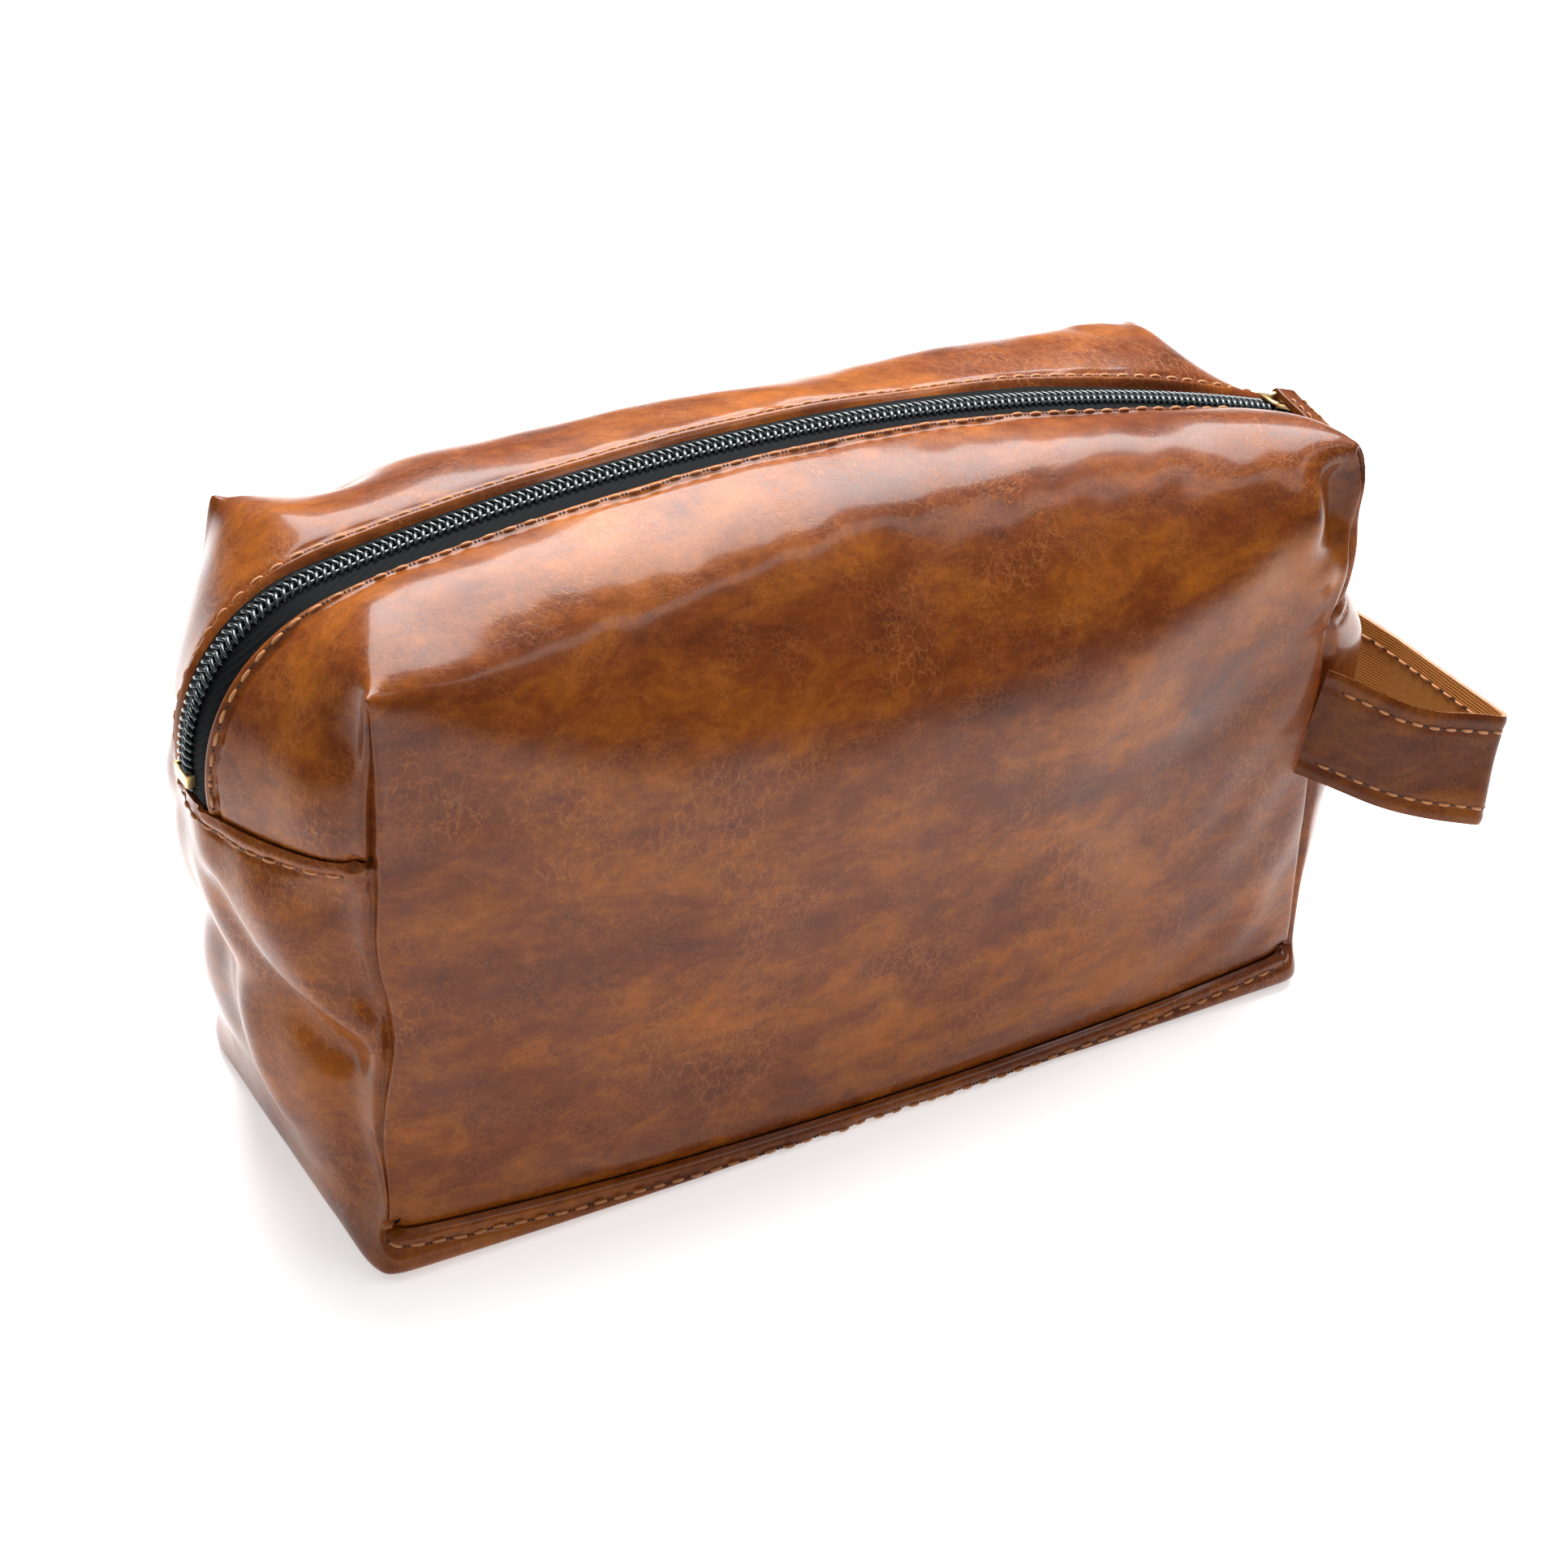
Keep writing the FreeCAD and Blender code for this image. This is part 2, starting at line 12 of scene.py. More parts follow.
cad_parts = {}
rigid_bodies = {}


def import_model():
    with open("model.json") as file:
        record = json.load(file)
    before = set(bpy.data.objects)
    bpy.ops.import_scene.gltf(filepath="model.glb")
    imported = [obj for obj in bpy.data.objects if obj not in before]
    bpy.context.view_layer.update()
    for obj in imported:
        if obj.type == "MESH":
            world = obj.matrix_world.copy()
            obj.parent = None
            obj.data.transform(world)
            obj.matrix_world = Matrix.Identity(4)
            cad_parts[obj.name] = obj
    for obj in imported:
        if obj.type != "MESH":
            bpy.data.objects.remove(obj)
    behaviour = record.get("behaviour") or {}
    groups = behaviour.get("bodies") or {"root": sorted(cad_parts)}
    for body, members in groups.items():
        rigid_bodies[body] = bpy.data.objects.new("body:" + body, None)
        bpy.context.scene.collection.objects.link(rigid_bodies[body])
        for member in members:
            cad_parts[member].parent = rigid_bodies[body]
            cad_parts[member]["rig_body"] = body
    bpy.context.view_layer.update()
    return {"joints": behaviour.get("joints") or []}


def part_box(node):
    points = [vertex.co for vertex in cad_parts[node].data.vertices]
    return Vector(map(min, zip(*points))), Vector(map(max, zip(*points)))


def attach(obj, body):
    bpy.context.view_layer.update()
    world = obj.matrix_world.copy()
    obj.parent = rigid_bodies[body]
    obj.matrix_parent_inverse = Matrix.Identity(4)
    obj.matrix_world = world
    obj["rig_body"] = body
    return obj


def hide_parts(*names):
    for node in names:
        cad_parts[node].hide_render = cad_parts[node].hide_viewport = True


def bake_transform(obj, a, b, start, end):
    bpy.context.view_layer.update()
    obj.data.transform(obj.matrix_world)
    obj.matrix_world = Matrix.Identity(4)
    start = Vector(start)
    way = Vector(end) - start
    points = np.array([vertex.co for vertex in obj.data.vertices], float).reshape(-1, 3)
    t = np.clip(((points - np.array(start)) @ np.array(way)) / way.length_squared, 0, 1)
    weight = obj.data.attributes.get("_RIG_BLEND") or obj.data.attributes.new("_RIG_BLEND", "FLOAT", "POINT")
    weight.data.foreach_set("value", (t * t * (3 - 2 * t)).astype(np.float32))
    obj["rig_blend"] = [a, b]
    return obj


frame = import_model()

# A zip-top leather wash bag. Shapes are worked out in millimetres in the row frame and turned into
# metres when a mesh is made. The front of the bag faces -Y and the carry loop is at +X.

MM = 0.001
RNG = np.random.default_rng(7)


def box_mm(node):
    low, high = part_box(node)
    return np.array(low) / MM, np.array(high) / MM


def joint(name):
    return next(j for j in frame["joints"] if j["name"] == name)


# ---------------------------------------------------------------- driving dimensions

SEAM_X = 125.5  # corner seams, from the middle
FACE_Y = box_mm("back_panel")[1][1]  # face panels, from the middle
END_X = box_mm("base_panel")[1][0]  # widest point of each end
ARCH_X, _, ARCH_Z = np.array(joint("zip_travel")["pos_m"]) / MM
HINGE_Y = joint("back_mouth")["pos_m"][1] / MM
TOP_Z = box_mm("front_zip_coil")[1][2] - 0.3  # top of the zip's arc
ARCH_R = TOP_Z - ARCH_Z
REACH = {-1: END_X - 4.0, 1: END_X}  # the left end sits a little further in
END_R = 300.0  # the ends' curve seen from the front
BELLY_Z = 110.0  # height of the ends' widest point
SHOULDERS = {-1: 38.0, 1: 7.0}
END_SEAM_Z = 106.0  # seam between the end flaps and the base piece
RIDGE_Z = 147.0
ZIP_FOOT_Z = 103.0

FACE_COLS = 100  # mesh divisions
FLAP_COLS = 16
TOP_ROWS = 16
LOWER_ROWS = 36
BAND_ROWS = 5
GAP_COLS = 4

FLOOR_GAP = 0.05  # leather stays this far above the floor
CLOTH_FRAMES = 18
LEATHER_THICK = 1.2
LINING_THICK = 0.4
STITCH_SHARE = 0.72  # part of the pitch that a stitch shows
ZIP_SEW_IN = 2.5  # zip stitches, from the leather's edge
BASE_SEW_DROP = 3.5  # base stitches, below their seam
REFINE_REACH = 6.5  # finer mesh this close to seams and edges
LINING_GAP = 2.0
EAR_RUN_X = {-1: -113, 1: 120}  # where the zip's line passes the ears' corners
SEW_PITCH = 5.0
SEW_THREAD = 0.42


def smooth(edge0, edge1, value):
    t = np.clip((np.asarray(value, float) - edge0) / (edge1 - edge0), 0, 1)
    return t * t * (3 - 2 * t)


def bump(value, centre, width):
    return np.exp(-((np.asarray(value, float) - centre) / width) ** 2)


def running(path):
    """Running length at each point of a path."""
    steps = np.linalg.norm(np.diff(path, axis=0), axis=1)
    return np.concatenate([[0], np.cumsum(steps)])


def sample(values, length, runs):
    """Rows of values, known at the running lengths, at other runs."""
    return np.stack([np.interp(runs, length, values[:, k]) for k in range(3)], -1)


# ---------------------------------------------------------------- the zip's line

def shoulder_centre(side, corner):
    """Centre of the shoulder circle that touches the arch and the end from inside, in XZ."""
    arch = np.array([ARCH_X, ARCH_Z])
    end = np.array([side * (REACH[side] - END_R), BELLY_Z])
    reach_arch = ARCH_R - corner
    reach_end = END_R - corner
    across = end - arch
    span = np.linalg.norm(across)
    along = (reach_arch ** 2 - reach_end ** 2 + span ** 2) / (2 * span)
    off = math.sqrt(reach_arch ** 2 - along ** 2)
    across = across / span
    normal = np.array([-across[1], across[0]])
    found = [arch + across * along + normal * off, arch + across * along - normal * off]
    return max(found, key=lambda c: c[0] * side)


def heading(centre, target):
    return math.atan2(target[0] - centre[0], target[1] - centre[1])


def zip_table():
    """Dense points, outward normals and running length of the zip's line, left foot to right."""
    arch = np.array([ARCH_X, ARCH_Z])
    arcs = []
    left = shoulder_centre(-1, SHOULDERS[-1])
    right = shoulder_centre(1, SHOULDERS[1])
    left_end = np.array([END_R - REACH[-1], BELLY_Z])
    right_end = np.array([REACH[1] - END_R, BELLY_Z])
    foot = math.acos((ZIP_FOOT_Z - BELLY_Z) / END_R)
    arcs.append((left_end, END_R, -foot, heading(left_end, left)))
    arcs.append((left, SHOULDERS[-1], heading(left_end, left), heading(arch, left)))
    arcs.append((arch, ARCH_R, heading(arch, left), heading(arch, right)))
    arcs.append((right, SHOULDERS[1], heading(arch, right), heading(right_end, right)))
    arcs.append((right_end, END_R, heading(right_end, right), foot))
    points = []
    normals = []
    for centre, radius, first, last in arcs:
        angles = np.linspace(first, last, 60)
        normal = np.stack([np.sin(angles), np.cos(angles)], 1)
        points.append(centre + radius * normal)
        normals.append(normal)
    points = np.concatenate(points)
    normals = np.concatenate(normals)
    return points, normals, running(points)


ZIP_POINTS, ZIP_NORMALS, ZIP_LENGTH = zip_table()
ZIP_TOTAL = ZIP_LENGTH[-1]


def zip_at(run):
    """Place and outward normal of the zip's line at a running length, as XYZ rows."""
    run = np.atleast_1d(np.asarray(run, float))
    place = np.zeros((len(run), 3))
    normal = np.zeros((len(run), 3))
    for axis, column in ((0, 0), (2, 1)):
        place[:, axis] = np.interp(run, ZIP_LENGTH, ZIP_POINTS[:, column])
        normal[:, axis] = np.interp(run, ZIP_LENGTH, ZIP_NORMALS[:, column])
    return place, normal / np.linalg.norm(normal, axis=1, keepdims=True)


def zip_run(x):
    """Running length at which the top of the zip passes x."""
    top = ZIP_POINTS[:, 1] > TOP_Z - 60
    return float(np.interp(x, ZIP_POINTS[top, 0], ZIP_LENGTH[top]))


def mouth(side, x):
    """Distance of a leather edge from the zip's middle; the coil hugs the back edge at the left."""
    if side < 0:
        return np.interp(x, [-150, -80, -20, 30, 95, 150], [9.5, 9.2, 8.2, 6.2, 8.6, 7.0])
    return np.interp(x, [-150, -60, 0, 70, 118, 150], [5.6, 5.4, 6.2, 8.8, 6.6, 6.2])


# ---------------------------------------------------------------- the soft body as one welded net

EAR_REACH = {(-1, -1): 126.0, (1, -1): 130.8, (-1, 1): 121.5, (1, 1): 127.0}
EAR_WAIST = {(-1, -1): 124.6, (1, -1): 128.2, (-1, 1): 124.0, (1, 1): 125.5}
EAR_RISE = {(-1, -1): -1.0, (1, -1): 3.6, (-1, 1): 1.5, (1, 1): 1.0}


def seam_x(side, z, face=-1):
    """The corner seams lean a little, and the front left one kinks where the end's fold meets it."""
    lean = np.interp(z, [0, 13, 106, 128, 150],
                     [129.6, 126.4, 124.8, EAR_WAIST[side, face], EAR_REACH[side, face]])
    if side < 0:
        lean = lean - 2.6 * bump(z, 62, 9) + 1.6 * bump(z, 86, 13) + 1.2 * bump(z, 38, 12)
    return side * lean


def ridge_rise(x, face):
    """How far a ridge stands above or below its usual height, mostly at the ears."""
    left = EAR_RISE[-1, face] * smooth(-96, -120, x)
    middle = 4.4 * smooth(-115, -80, x) * smooth(118, 90, x) * (face > 0)
    return left + middle + EAR_RISE[1, face] * smooth(82, 112, x)


def base_seam_z(x):
    """The base seam sags in the middle and climbs to the corners."""
    return 5.2 + 6.6 * np.abs((x - 5) / 125.0) ** 2.2


def end_bulge(side, z):
    """How far an end stands out beyond its corner seams, at the middle of its width."""
    profile = REACH[side] - END_R + np.sqrt(END_R ** 2 - (np.asarray(z, float) - BELLY_Z) ** 2)
    return profile - SEAM_X - 2.0 * bump(z, 30, 40)


def row_heights():
    """Heights of the net's rows on a corner seam, from the base seam up to the ear."""
    lower = np.linspace(0, 1, LOWER_ROWS + 1)
    upper = np.linspace(END_SEAM_Z, RIDGE_Z, FLAP_COLS + 1)
    return lower, upper


def face_point(side, col, row):
    """A point of the front (side -1) or back (side 1) face, on the net."""
    u = col / FACE_COLS
    lower, upper = row_heights()
    x_mid = (2 * u - 1) * SEAM_X
    foot = base_seam_z(x_mid)
    if row <= LOWER_ROWS:
        z = foot + (END_SEAM_Z - foot) * lower[row]
    else:
        share = (row - LOWER_ROWS) / FLAP_COLS
        z = upper[row - LOWER_ROWS] + share * ridge_rise(x_mid, side)
    x = (1 - u) * seam_x(-1, z, side) + u * seam_x(1, z, side)
    t = (z - foot) / (RIDGE_Z - foot)
    belly = 3.5 * math.sin(math.pi * min(t, 1.0)) * (1 - (2 * u - 1) ** 4)
    spread = 2.2 * (1 - t) ** 2
    return np.array([x, side * (FACE_Y + belly + spread), z])


def strip_outer(side, col):
    """Outer line of a top half: up the left corner seam, along the ridge, down the right seam."""
    if col < FLAP_COLS:
        return face_point(side, 0, LOWER_ROWS + col)
    if col > FLAP_COLS + FACE_COLS:
        return face_point(side, FACE_COLS, LOWER_ROWS + 2 * FLAP_COLS + FACE_COLS - col)
    return face_point(side, col - FLAP_COLS, LOWER_ROWS + FLAP_COLS)


def strip_run(col):
    """Running length on the zip that belongs to a column of the top half."""
    left = zip_run(EAR_RUN_X[-1])
    right = zip_run(EAR_RUN_X[1])
    start = 1.5
    if col < FLAP_COLS:
        return start + (left - start) * col / FLAP_COLS
    if col > FLAP_COLS + FACE_COLS:
        past = (col - FLAP_COLS - FACE_COLS) / FLAP_COLS
        return right + (ZIP_TOTAL - start - right) * past
    return left + (right - left) * (col - FLAP_COLS) / FACE_COLS


def strip_column(side, col):
    """The points of one column of a top half, from the zip edge out to the outer line."""
    run = strip_run(col)
    place, normal = zip_at(run)
    ahead, _ = zip_at(min(run + 1, ZIP_TOTAL))
    behind, _ = zip_at(max(run - 1, 0))
    along = (ahead - behind)[0]
    edge = place[0] + np.array([0, side * mouth(side, place[0][0]), 0]) + normal[0] * 0.3
    outer = strip_outer(side, col)
    chord = outer - edge
    away = np.cross(along, chord) * side
    away = away / np.linalg.norm(away)
    s = np.linspace(0, 1, TOP_ROWS + 1)
    in_flap = 1 - smooth(0, FLAP_COLS, col) * (1 - smooth(FLAP_COLS + FACE_COLS,
                                                          2 * FLAP_COLS + FACE_COLS, col))
    height = 3.6 - 0.6 * in_flap
    lift = height * 4 * s ** 1.2 * (1 - s) ** 0.9
    return edge + s[:, None] * chord + lift[:, None] * away


def end_columns(side_x):
    """Top row of an end panel: the front flap's foot, the zip's foot and the back flap's foot."""
    col = 0 if side_x < 0 else 2 * FLAP_COLS + FACE_COLS
    front = strip_column(-1, col)[::-1]
    back = strip_column(1, col)
    gap = [front[-1] + (back[0] - front[-1]) * k / GAP_COLS for k in range(1, GAP_COLS)]
    return np.concatenate([front, gap, back])


def end_point(side_x, tops, col, row):
    """A point of an end panel; row 0 is at the floor, the last row on the end seam."""
    top = tops[col]
    rows = BAND_ROWS + LOWER_ROWS
    if row >= BAND_ROWS:
        foot = base_seam_z(side_x * SEAM_X)
        z = foot + (END_SEAM_Z - foot) * (row - BAND_ROWS) / LOWER_ROWS
    else:
        z = 0.4 + (base_seam_z(side_x * SEAM_X) - 0.4) * row / BAND_ROWS
    t = z / END_SEAM_Z
    y = top[1] * (1 + 0.035 * (1 - t) ** 2)
    y_share = min(abs(top[1]) / FACE_Y, 1.0)
    squareness = 3.0 if side_x < 0 else 6.0
    x = abs(seam_x(side_x, z)) + end_bulge(side_x, z) * (1 - y_share ** squareness)
    if row == rows:
        return top.copy()
    pull = smooth(0.86, 1.0, t)
    x = x * (1 - pull) + abs(top[0]) * pull
    return np.array([side_x * x, y, z])


def band_point(side, col, row):
    """The low front and back bands of the base piece, from the floor up to the base seam."""
    seam = face_point(side, col, 0)
    t = row / BAND_ROWS
    low = 0.3 * (1 - t)
    spread = 2.8 + 2.0 * smooth(20, -110, seam[0])
    out = spread * (1 - t) + 1.0 * math.sin(math.pi * t)
    return np.array([seam[0], seam[1] + side * out, seam[2] * t + low])


class Net:
    """Vertices and faces of the welded body; the panel number of each face is kept."""

    def __init__(self):
        self.verts = []
        self.faces = []
        self.panels = []

    def grid(self, points, panel, flip):
        """Add a grid of points (rows x columns x 3)."""
        rows, cols = points.shape[:2]
        start = len(self.verts)
        self.verts.extend(points.reshape(-1, 3))
        for r in range(rows - 1):
            for c in range(cols - 1):
                a = start + r * cols + c
                quad = [a, a + 1, a + cols + 1, a + cols]
                self.faces.append(quad[::-1] if flip else quad)
                self.panels.append(panel)


FRONT, BACK, BASE = 0, 1, 2


def body_net():
    net = Net()
    rows = LOWER_ROWS + FLAP_COLS
    strip_cols = 2 * FLAP_COLS + FACE_COLS
    for side, panel in ((-1, FRONT), (1, BACK)):
        face = np.array([[face_point(side, c, r) for c in range(FACE_COLS + 1)]
                         for r in range(rows + 1)])
        net.grid(face, panel, side > 0)
        strip = np.array([strip_column(side, c) for c in range(strip_cols + 1)])
        net.grid(strip.transpose(1, 0, 2), panel, side < 0)
        band = np.array([[band_point(side, c, r) for c in range(FACE_COLS + 1)]
                         for r in range(BAND_ROWS + 1)])
        net.grid(band, BASE, side > 0)
    feet = {}
    for side_x in (-1, 1):
        tops = end_columns(side_x)
        end = np.array([[end_point(side_x, tops, c, r) for c in range(len(tops))]
                        for r in range(BAND_ROWS + LOWER_ROWS + 1)])
        for r in range(BAND_ROWS + LOWER_ROWS + 1):
            for side, c in ((-1, 0), (1, len(tops) - 1)):
                column = 0 if side_x < 0 else FACE_COLS
                if r <= BAND_ROWS:
                    end[r, c] = band_point(side, column, r)
                else:
                    end[r, c] = face_point(side, column, r - BAND_ROWS)
        net.grid(end, BASE, side_x < 0)
        feet[side_x] = end[0]
    floor = []
    for c in range(FACE_COLS + 1):
        u = c / FACE_COLS
        row = feet[-1] * (1 - u) + feet[1] * u
        front, back = band_point(-1, c, 0), band_point(1, c, 0)
        share = np.linspace(0, 1, len(row))[:, None]
        edge = (front - row[0]) * (1 - share) + (back - row[-1]) * share
        row = row + edge
        inside = smooth(0, 6, np.minimum(np.arange(len(row)), np.arange(len(row))[::-1]))
        inside = inside * smooth(0, 5, min(c, FACE_COLS - c))
        row[:, 2] = row[:, 2] * (1 - inside) + 0.1 * inside
        floor.append(row)
    net.grid(np.array(floor), BASE, False)
    return net


def linked(name, data):
    """A new object in the scene, with the given data."""
    obj = bpy.data.objects.new(name, data)
    bpy.context.scene.collection.objects.link(obj)
    return obj


def make_object(name, verts_mm, faces):
    mesh = bpy.data.meshes.new(name)
    mesh.from_pydata([tuple(v * MM) for v in verts_mm], [], faces)
    mesh.validate()
    return linked(name, mesh)


def read(items, key, width=3, kind=float):
    """One property of each item of a mesh, as the rows of an array."""
    flat = np.zeros(len(items) * width, kind)
    items.foreach_get(key, flat)
    return flat.reshape(-1, width)


def coords(obj):
    return read(obj.data.vertices, "co") / MM


@contextmanager
def opened(mesh):
    """A mesh opened as a bmesh for an edit and written back after it."""
    work = bmesh.new()
    work.from_mesh(mesh)
    yield work
    work.to_mesh(mesh)
    work.free()


def set_coords(obj, points):
    obj.data.vertices.foreach_set("co", (points * MM).ravel())
    obj.data.update()


def normals_of(obj):
    return read(obj.data.vertices, "normal")


def weld(obj, faces_panels):
    """Join the net's grids where they meet and keep each face's panel number."""
    layer = obj.data.attributes.new("panel", "INT", "FACE")
    layer.data.foreach_set("value", faces_panels)
    with opened(obj.data) as work:
        bmesh.ops.remove_doubles(work, verts=work.verts, dist=0.2 * MM)
    obj.data.update()


def seam_sets(obj):
    """Vertex sets of the welded body: seams, open (zip) edges and the corner darts of the ears."""
    work = bmesh.new()
    work.from_mesh(obj.data)
    layer = work.faces.layers.int["panel"]
    seam = set()
    open_edge = set()
    for edge in work.edges:
        if len(edge.link_faces) == 1:
            open_edge.update(v.index for v in edge.verts)
        elif len({f[layer] for f in edge.link_faces}) > 1:
            seam.update(v.index for v in edge.verts)
    work.free()
    points = coords(obj)
    on_corner = np.abs(np.abs(points[:, 1]) - FACE_Y) < 1.0
    wide = np.array([abs(seam_x(np.sign(p[0]), p[2], np.sign(p[1]))) for p in points])
    on_corner &= (np.abs(points[:, 0]) > wide - 0.7) & (points[:, 2] > END_SEAM_Z - 0.5)
    return seam, open_edge, set(np.nonzero(on_corner)[0].tolist())


def neighbours(obj):
    """Pairs of joined vertices as two index arrays, each edge both ways."""
    pairs = read(obj.data.edges, "vertices", 2, int)
    return np.concatenate([pairs[:, 0], pairs[:, 1]]), np.concatenate([pairs[:, 1], pairs[:, 0]])


def relax(points, pairs, weight, rounds):
    """Laplacian smoothing, with a weight for each vertex."""
    first, second = pairs
    count = np.bincount(first, minlength=len(points))[:, None]
    for _ in range(rounds):
        total = np.zeros_like(points)
        np.add.at(total, first, points[second])
        points = points + weight[:, None] * (total / count - points)
    return points


def simulate(obj, pinned):
    """Blow the leather out a little between its pinned seams, so it swells and wrinkles."""
    group = obj.vertex_groups.new(name="pinned")
    group.add(sorted(pinned), 1.0, "ADD")
    cloth = obj.modifiers.new("Cloth", "CLOTH")
    settings = cloth.settings
    settings.quality = 6
    settings.mass = 0.25
    settings.tension_stiffness = 25
    settings.compression_stiffness = 25
    settings.shear_stiffness = 12
    settings.bending_stiffness = 1.2
    settings.shrink_min = -0.005
    settings.use_pressure = True
    settings.uniform_pressure_force = 3.2
    settings.vertex_group_mass = "pinned"
    settings.effector_weights.gravity = 0
    cloth.collision_settings.use_collision = False
    cloth.point_cache.frame_end = CLOTH_FRAMES
    scene = bpy.context.scene
    for step in range(1, CLOTH_FRAMES + 1):
        scene.frame_set(step)
    graph = bpy.context.evaluated_depsgraph_get()
    shaped = bpy.data.meshes.new_from_object(obj.evaluated_get(graph))
    shaped_points = read(shaped.vertices, "co") / MM
    obj.modifiers.remove(cloth)
    obj.vertex_groups.clear()
    scene.frame_set(1)
    return shaped_points


def to_segment(points, first, last):
    """Distance of points from a segment, and how far along it (0 to 1) they are."""
    first, last = np.array(first, float), np.array(last, float)
    axis = last - first
    t = np.clip((points - first) @ axis / (axis @ axis), 0, 1)
    return np.linalg.norm(points - (first + t[:, None] * axis), axis=1), t


# Soft folds and dents, listed one by one: (first point, last point, width, height out of the surface)
FOLDS = (
    ((-142, -22, 98), (-124, -46, 60), 4.6, 3.4),  # left end, ridge down to the seam's kink
    ((-130, -40, 94), (-127, -44, 72), 6.0, -6.5),  # left end, hollow under the end seam
    ((-146, -4, 100), (-131, -38, 62), 4.6, 2.8),
    ((-144, -12, 84), (-131, -36, 56), 6.0, -4.2),
    ((-130, -40, 54), (-128, -43, 20), 7.0, -5.0),  # long hollow below the kink
    ((-142, -8, 66), (-134, -24, 22), 7.0, 2.6),
    ((-143, 8, 90), (-139, 2, 40), 8.0, -2.6),
    ((-146, 20, 96), (-140, 34, 50), 8.0, -2.6),
    ((-122, -50, 58), (-110, -52, 40), 9.0, 1.2),  # face beside the kink
    ((-128.8, -42, 143), (-130, -42, 132), 3.4, -3.4),  # left ear, pinch beside the seam
    ((-138, -34, 128), (-134, -38, 112), 7.0, 1.6),  # left flap, its belly
    ((-121, -48, 147), (-96, -47, 149), 5.0, 1.6),  # left ear, roll along the ridge
    ((-60, -44, 152), (-4, -42, 155), 8.0, 1.3),
    ((-119, -51, 134), (-106, -52, 116), 8.0, -1.5),  # face below the left ear
    ((-116, -51, 108), (-110, -51, 80), 10.0, -1.6),  # face beside the left corner seam
    ((121.5, -49, 144), (124.5, -50, 130), 5.6, -8.5),  # right ear, hollow in the face
    ((114, -51, 122), (123, -50, 118), 4.2, 2.6),  # its lower rim
    ((111.5, -50, 146), (112, -51, 128), 4.4, 2.2),  # its left rim
    ((127, -46, 150), (122, -44, 152), 6.0, 1.6),  # right ear, raised tip
    ((143, -9, 139), (138, -27, 144), 8.5, -1.6),  # hollow that the pull lies in
    ((60, -52, 96), (-10, -52, 62), 26.0, -1.6),  # broad hollow in the face
    ((-70, -52, 60), (-40, -52, 30), 20.0, -1.2),
    ((-60, -51, 118), (20, -51, 122), 14.0, 1.0),
    ((104, -51, 96), (70, -52, 60), 12.0, -1.2),
    ((118, 44, 146), (100, 40, 148), 8.0, 2.0),  # back right corner, puffed
    ((-112, 45, 146), (-117, 46, 146), 5.0, 2.0),  # back left ear
    ((-100, 44, 148), (-96, 40, 149), 7.0, -2.4),  # saddle beside it
    ((119, 50, 140), (121, 50, 126), 6.0, -4.0),
    ((-115, 50, 138), (-118, 50, 124), 6.0, -4.0),
    ((20, 52, 90), (-50, 52, 60), 24.0, -2.0),
    ((147, -20, 88), (132, -42, 58), 6.0, 1.4),
    ((146, 25, 86), (134, 40, 56), 7.0, -2.6),
)


def work_folds(points, normals, free):
    for first, last, width, height in FOLDS:
        distance, t = to_segment(points, first, last)
        ends = smooth(-0.05, 0.3, t) * smooth(1.05, 0.7, t) if height > 0 else 1.0
        share = np.exp(-(distance / width) ** 2) * (0.35 + 0.65 * ends)
        points = points + normals * (height * share * free)[:, None]
    return points


def waves(points, shortest, longest, count):
    """A sum of sine waves through space, between about -1 and 1, the same on every run."""
    total = np.zeros(len(points))
    for _ in range(count):
        direction = RNG.normal(size=3)
        direction /= np.linalg.norm(direction)
        length = RNG.uniform(shortest, longest)
        phase = RNG.uniform(0, 2 * math.pi)
        total += np.sin(2 * math.pi * (points @ direction) / length + phase)
    return total / math.sqrt(count * 2)


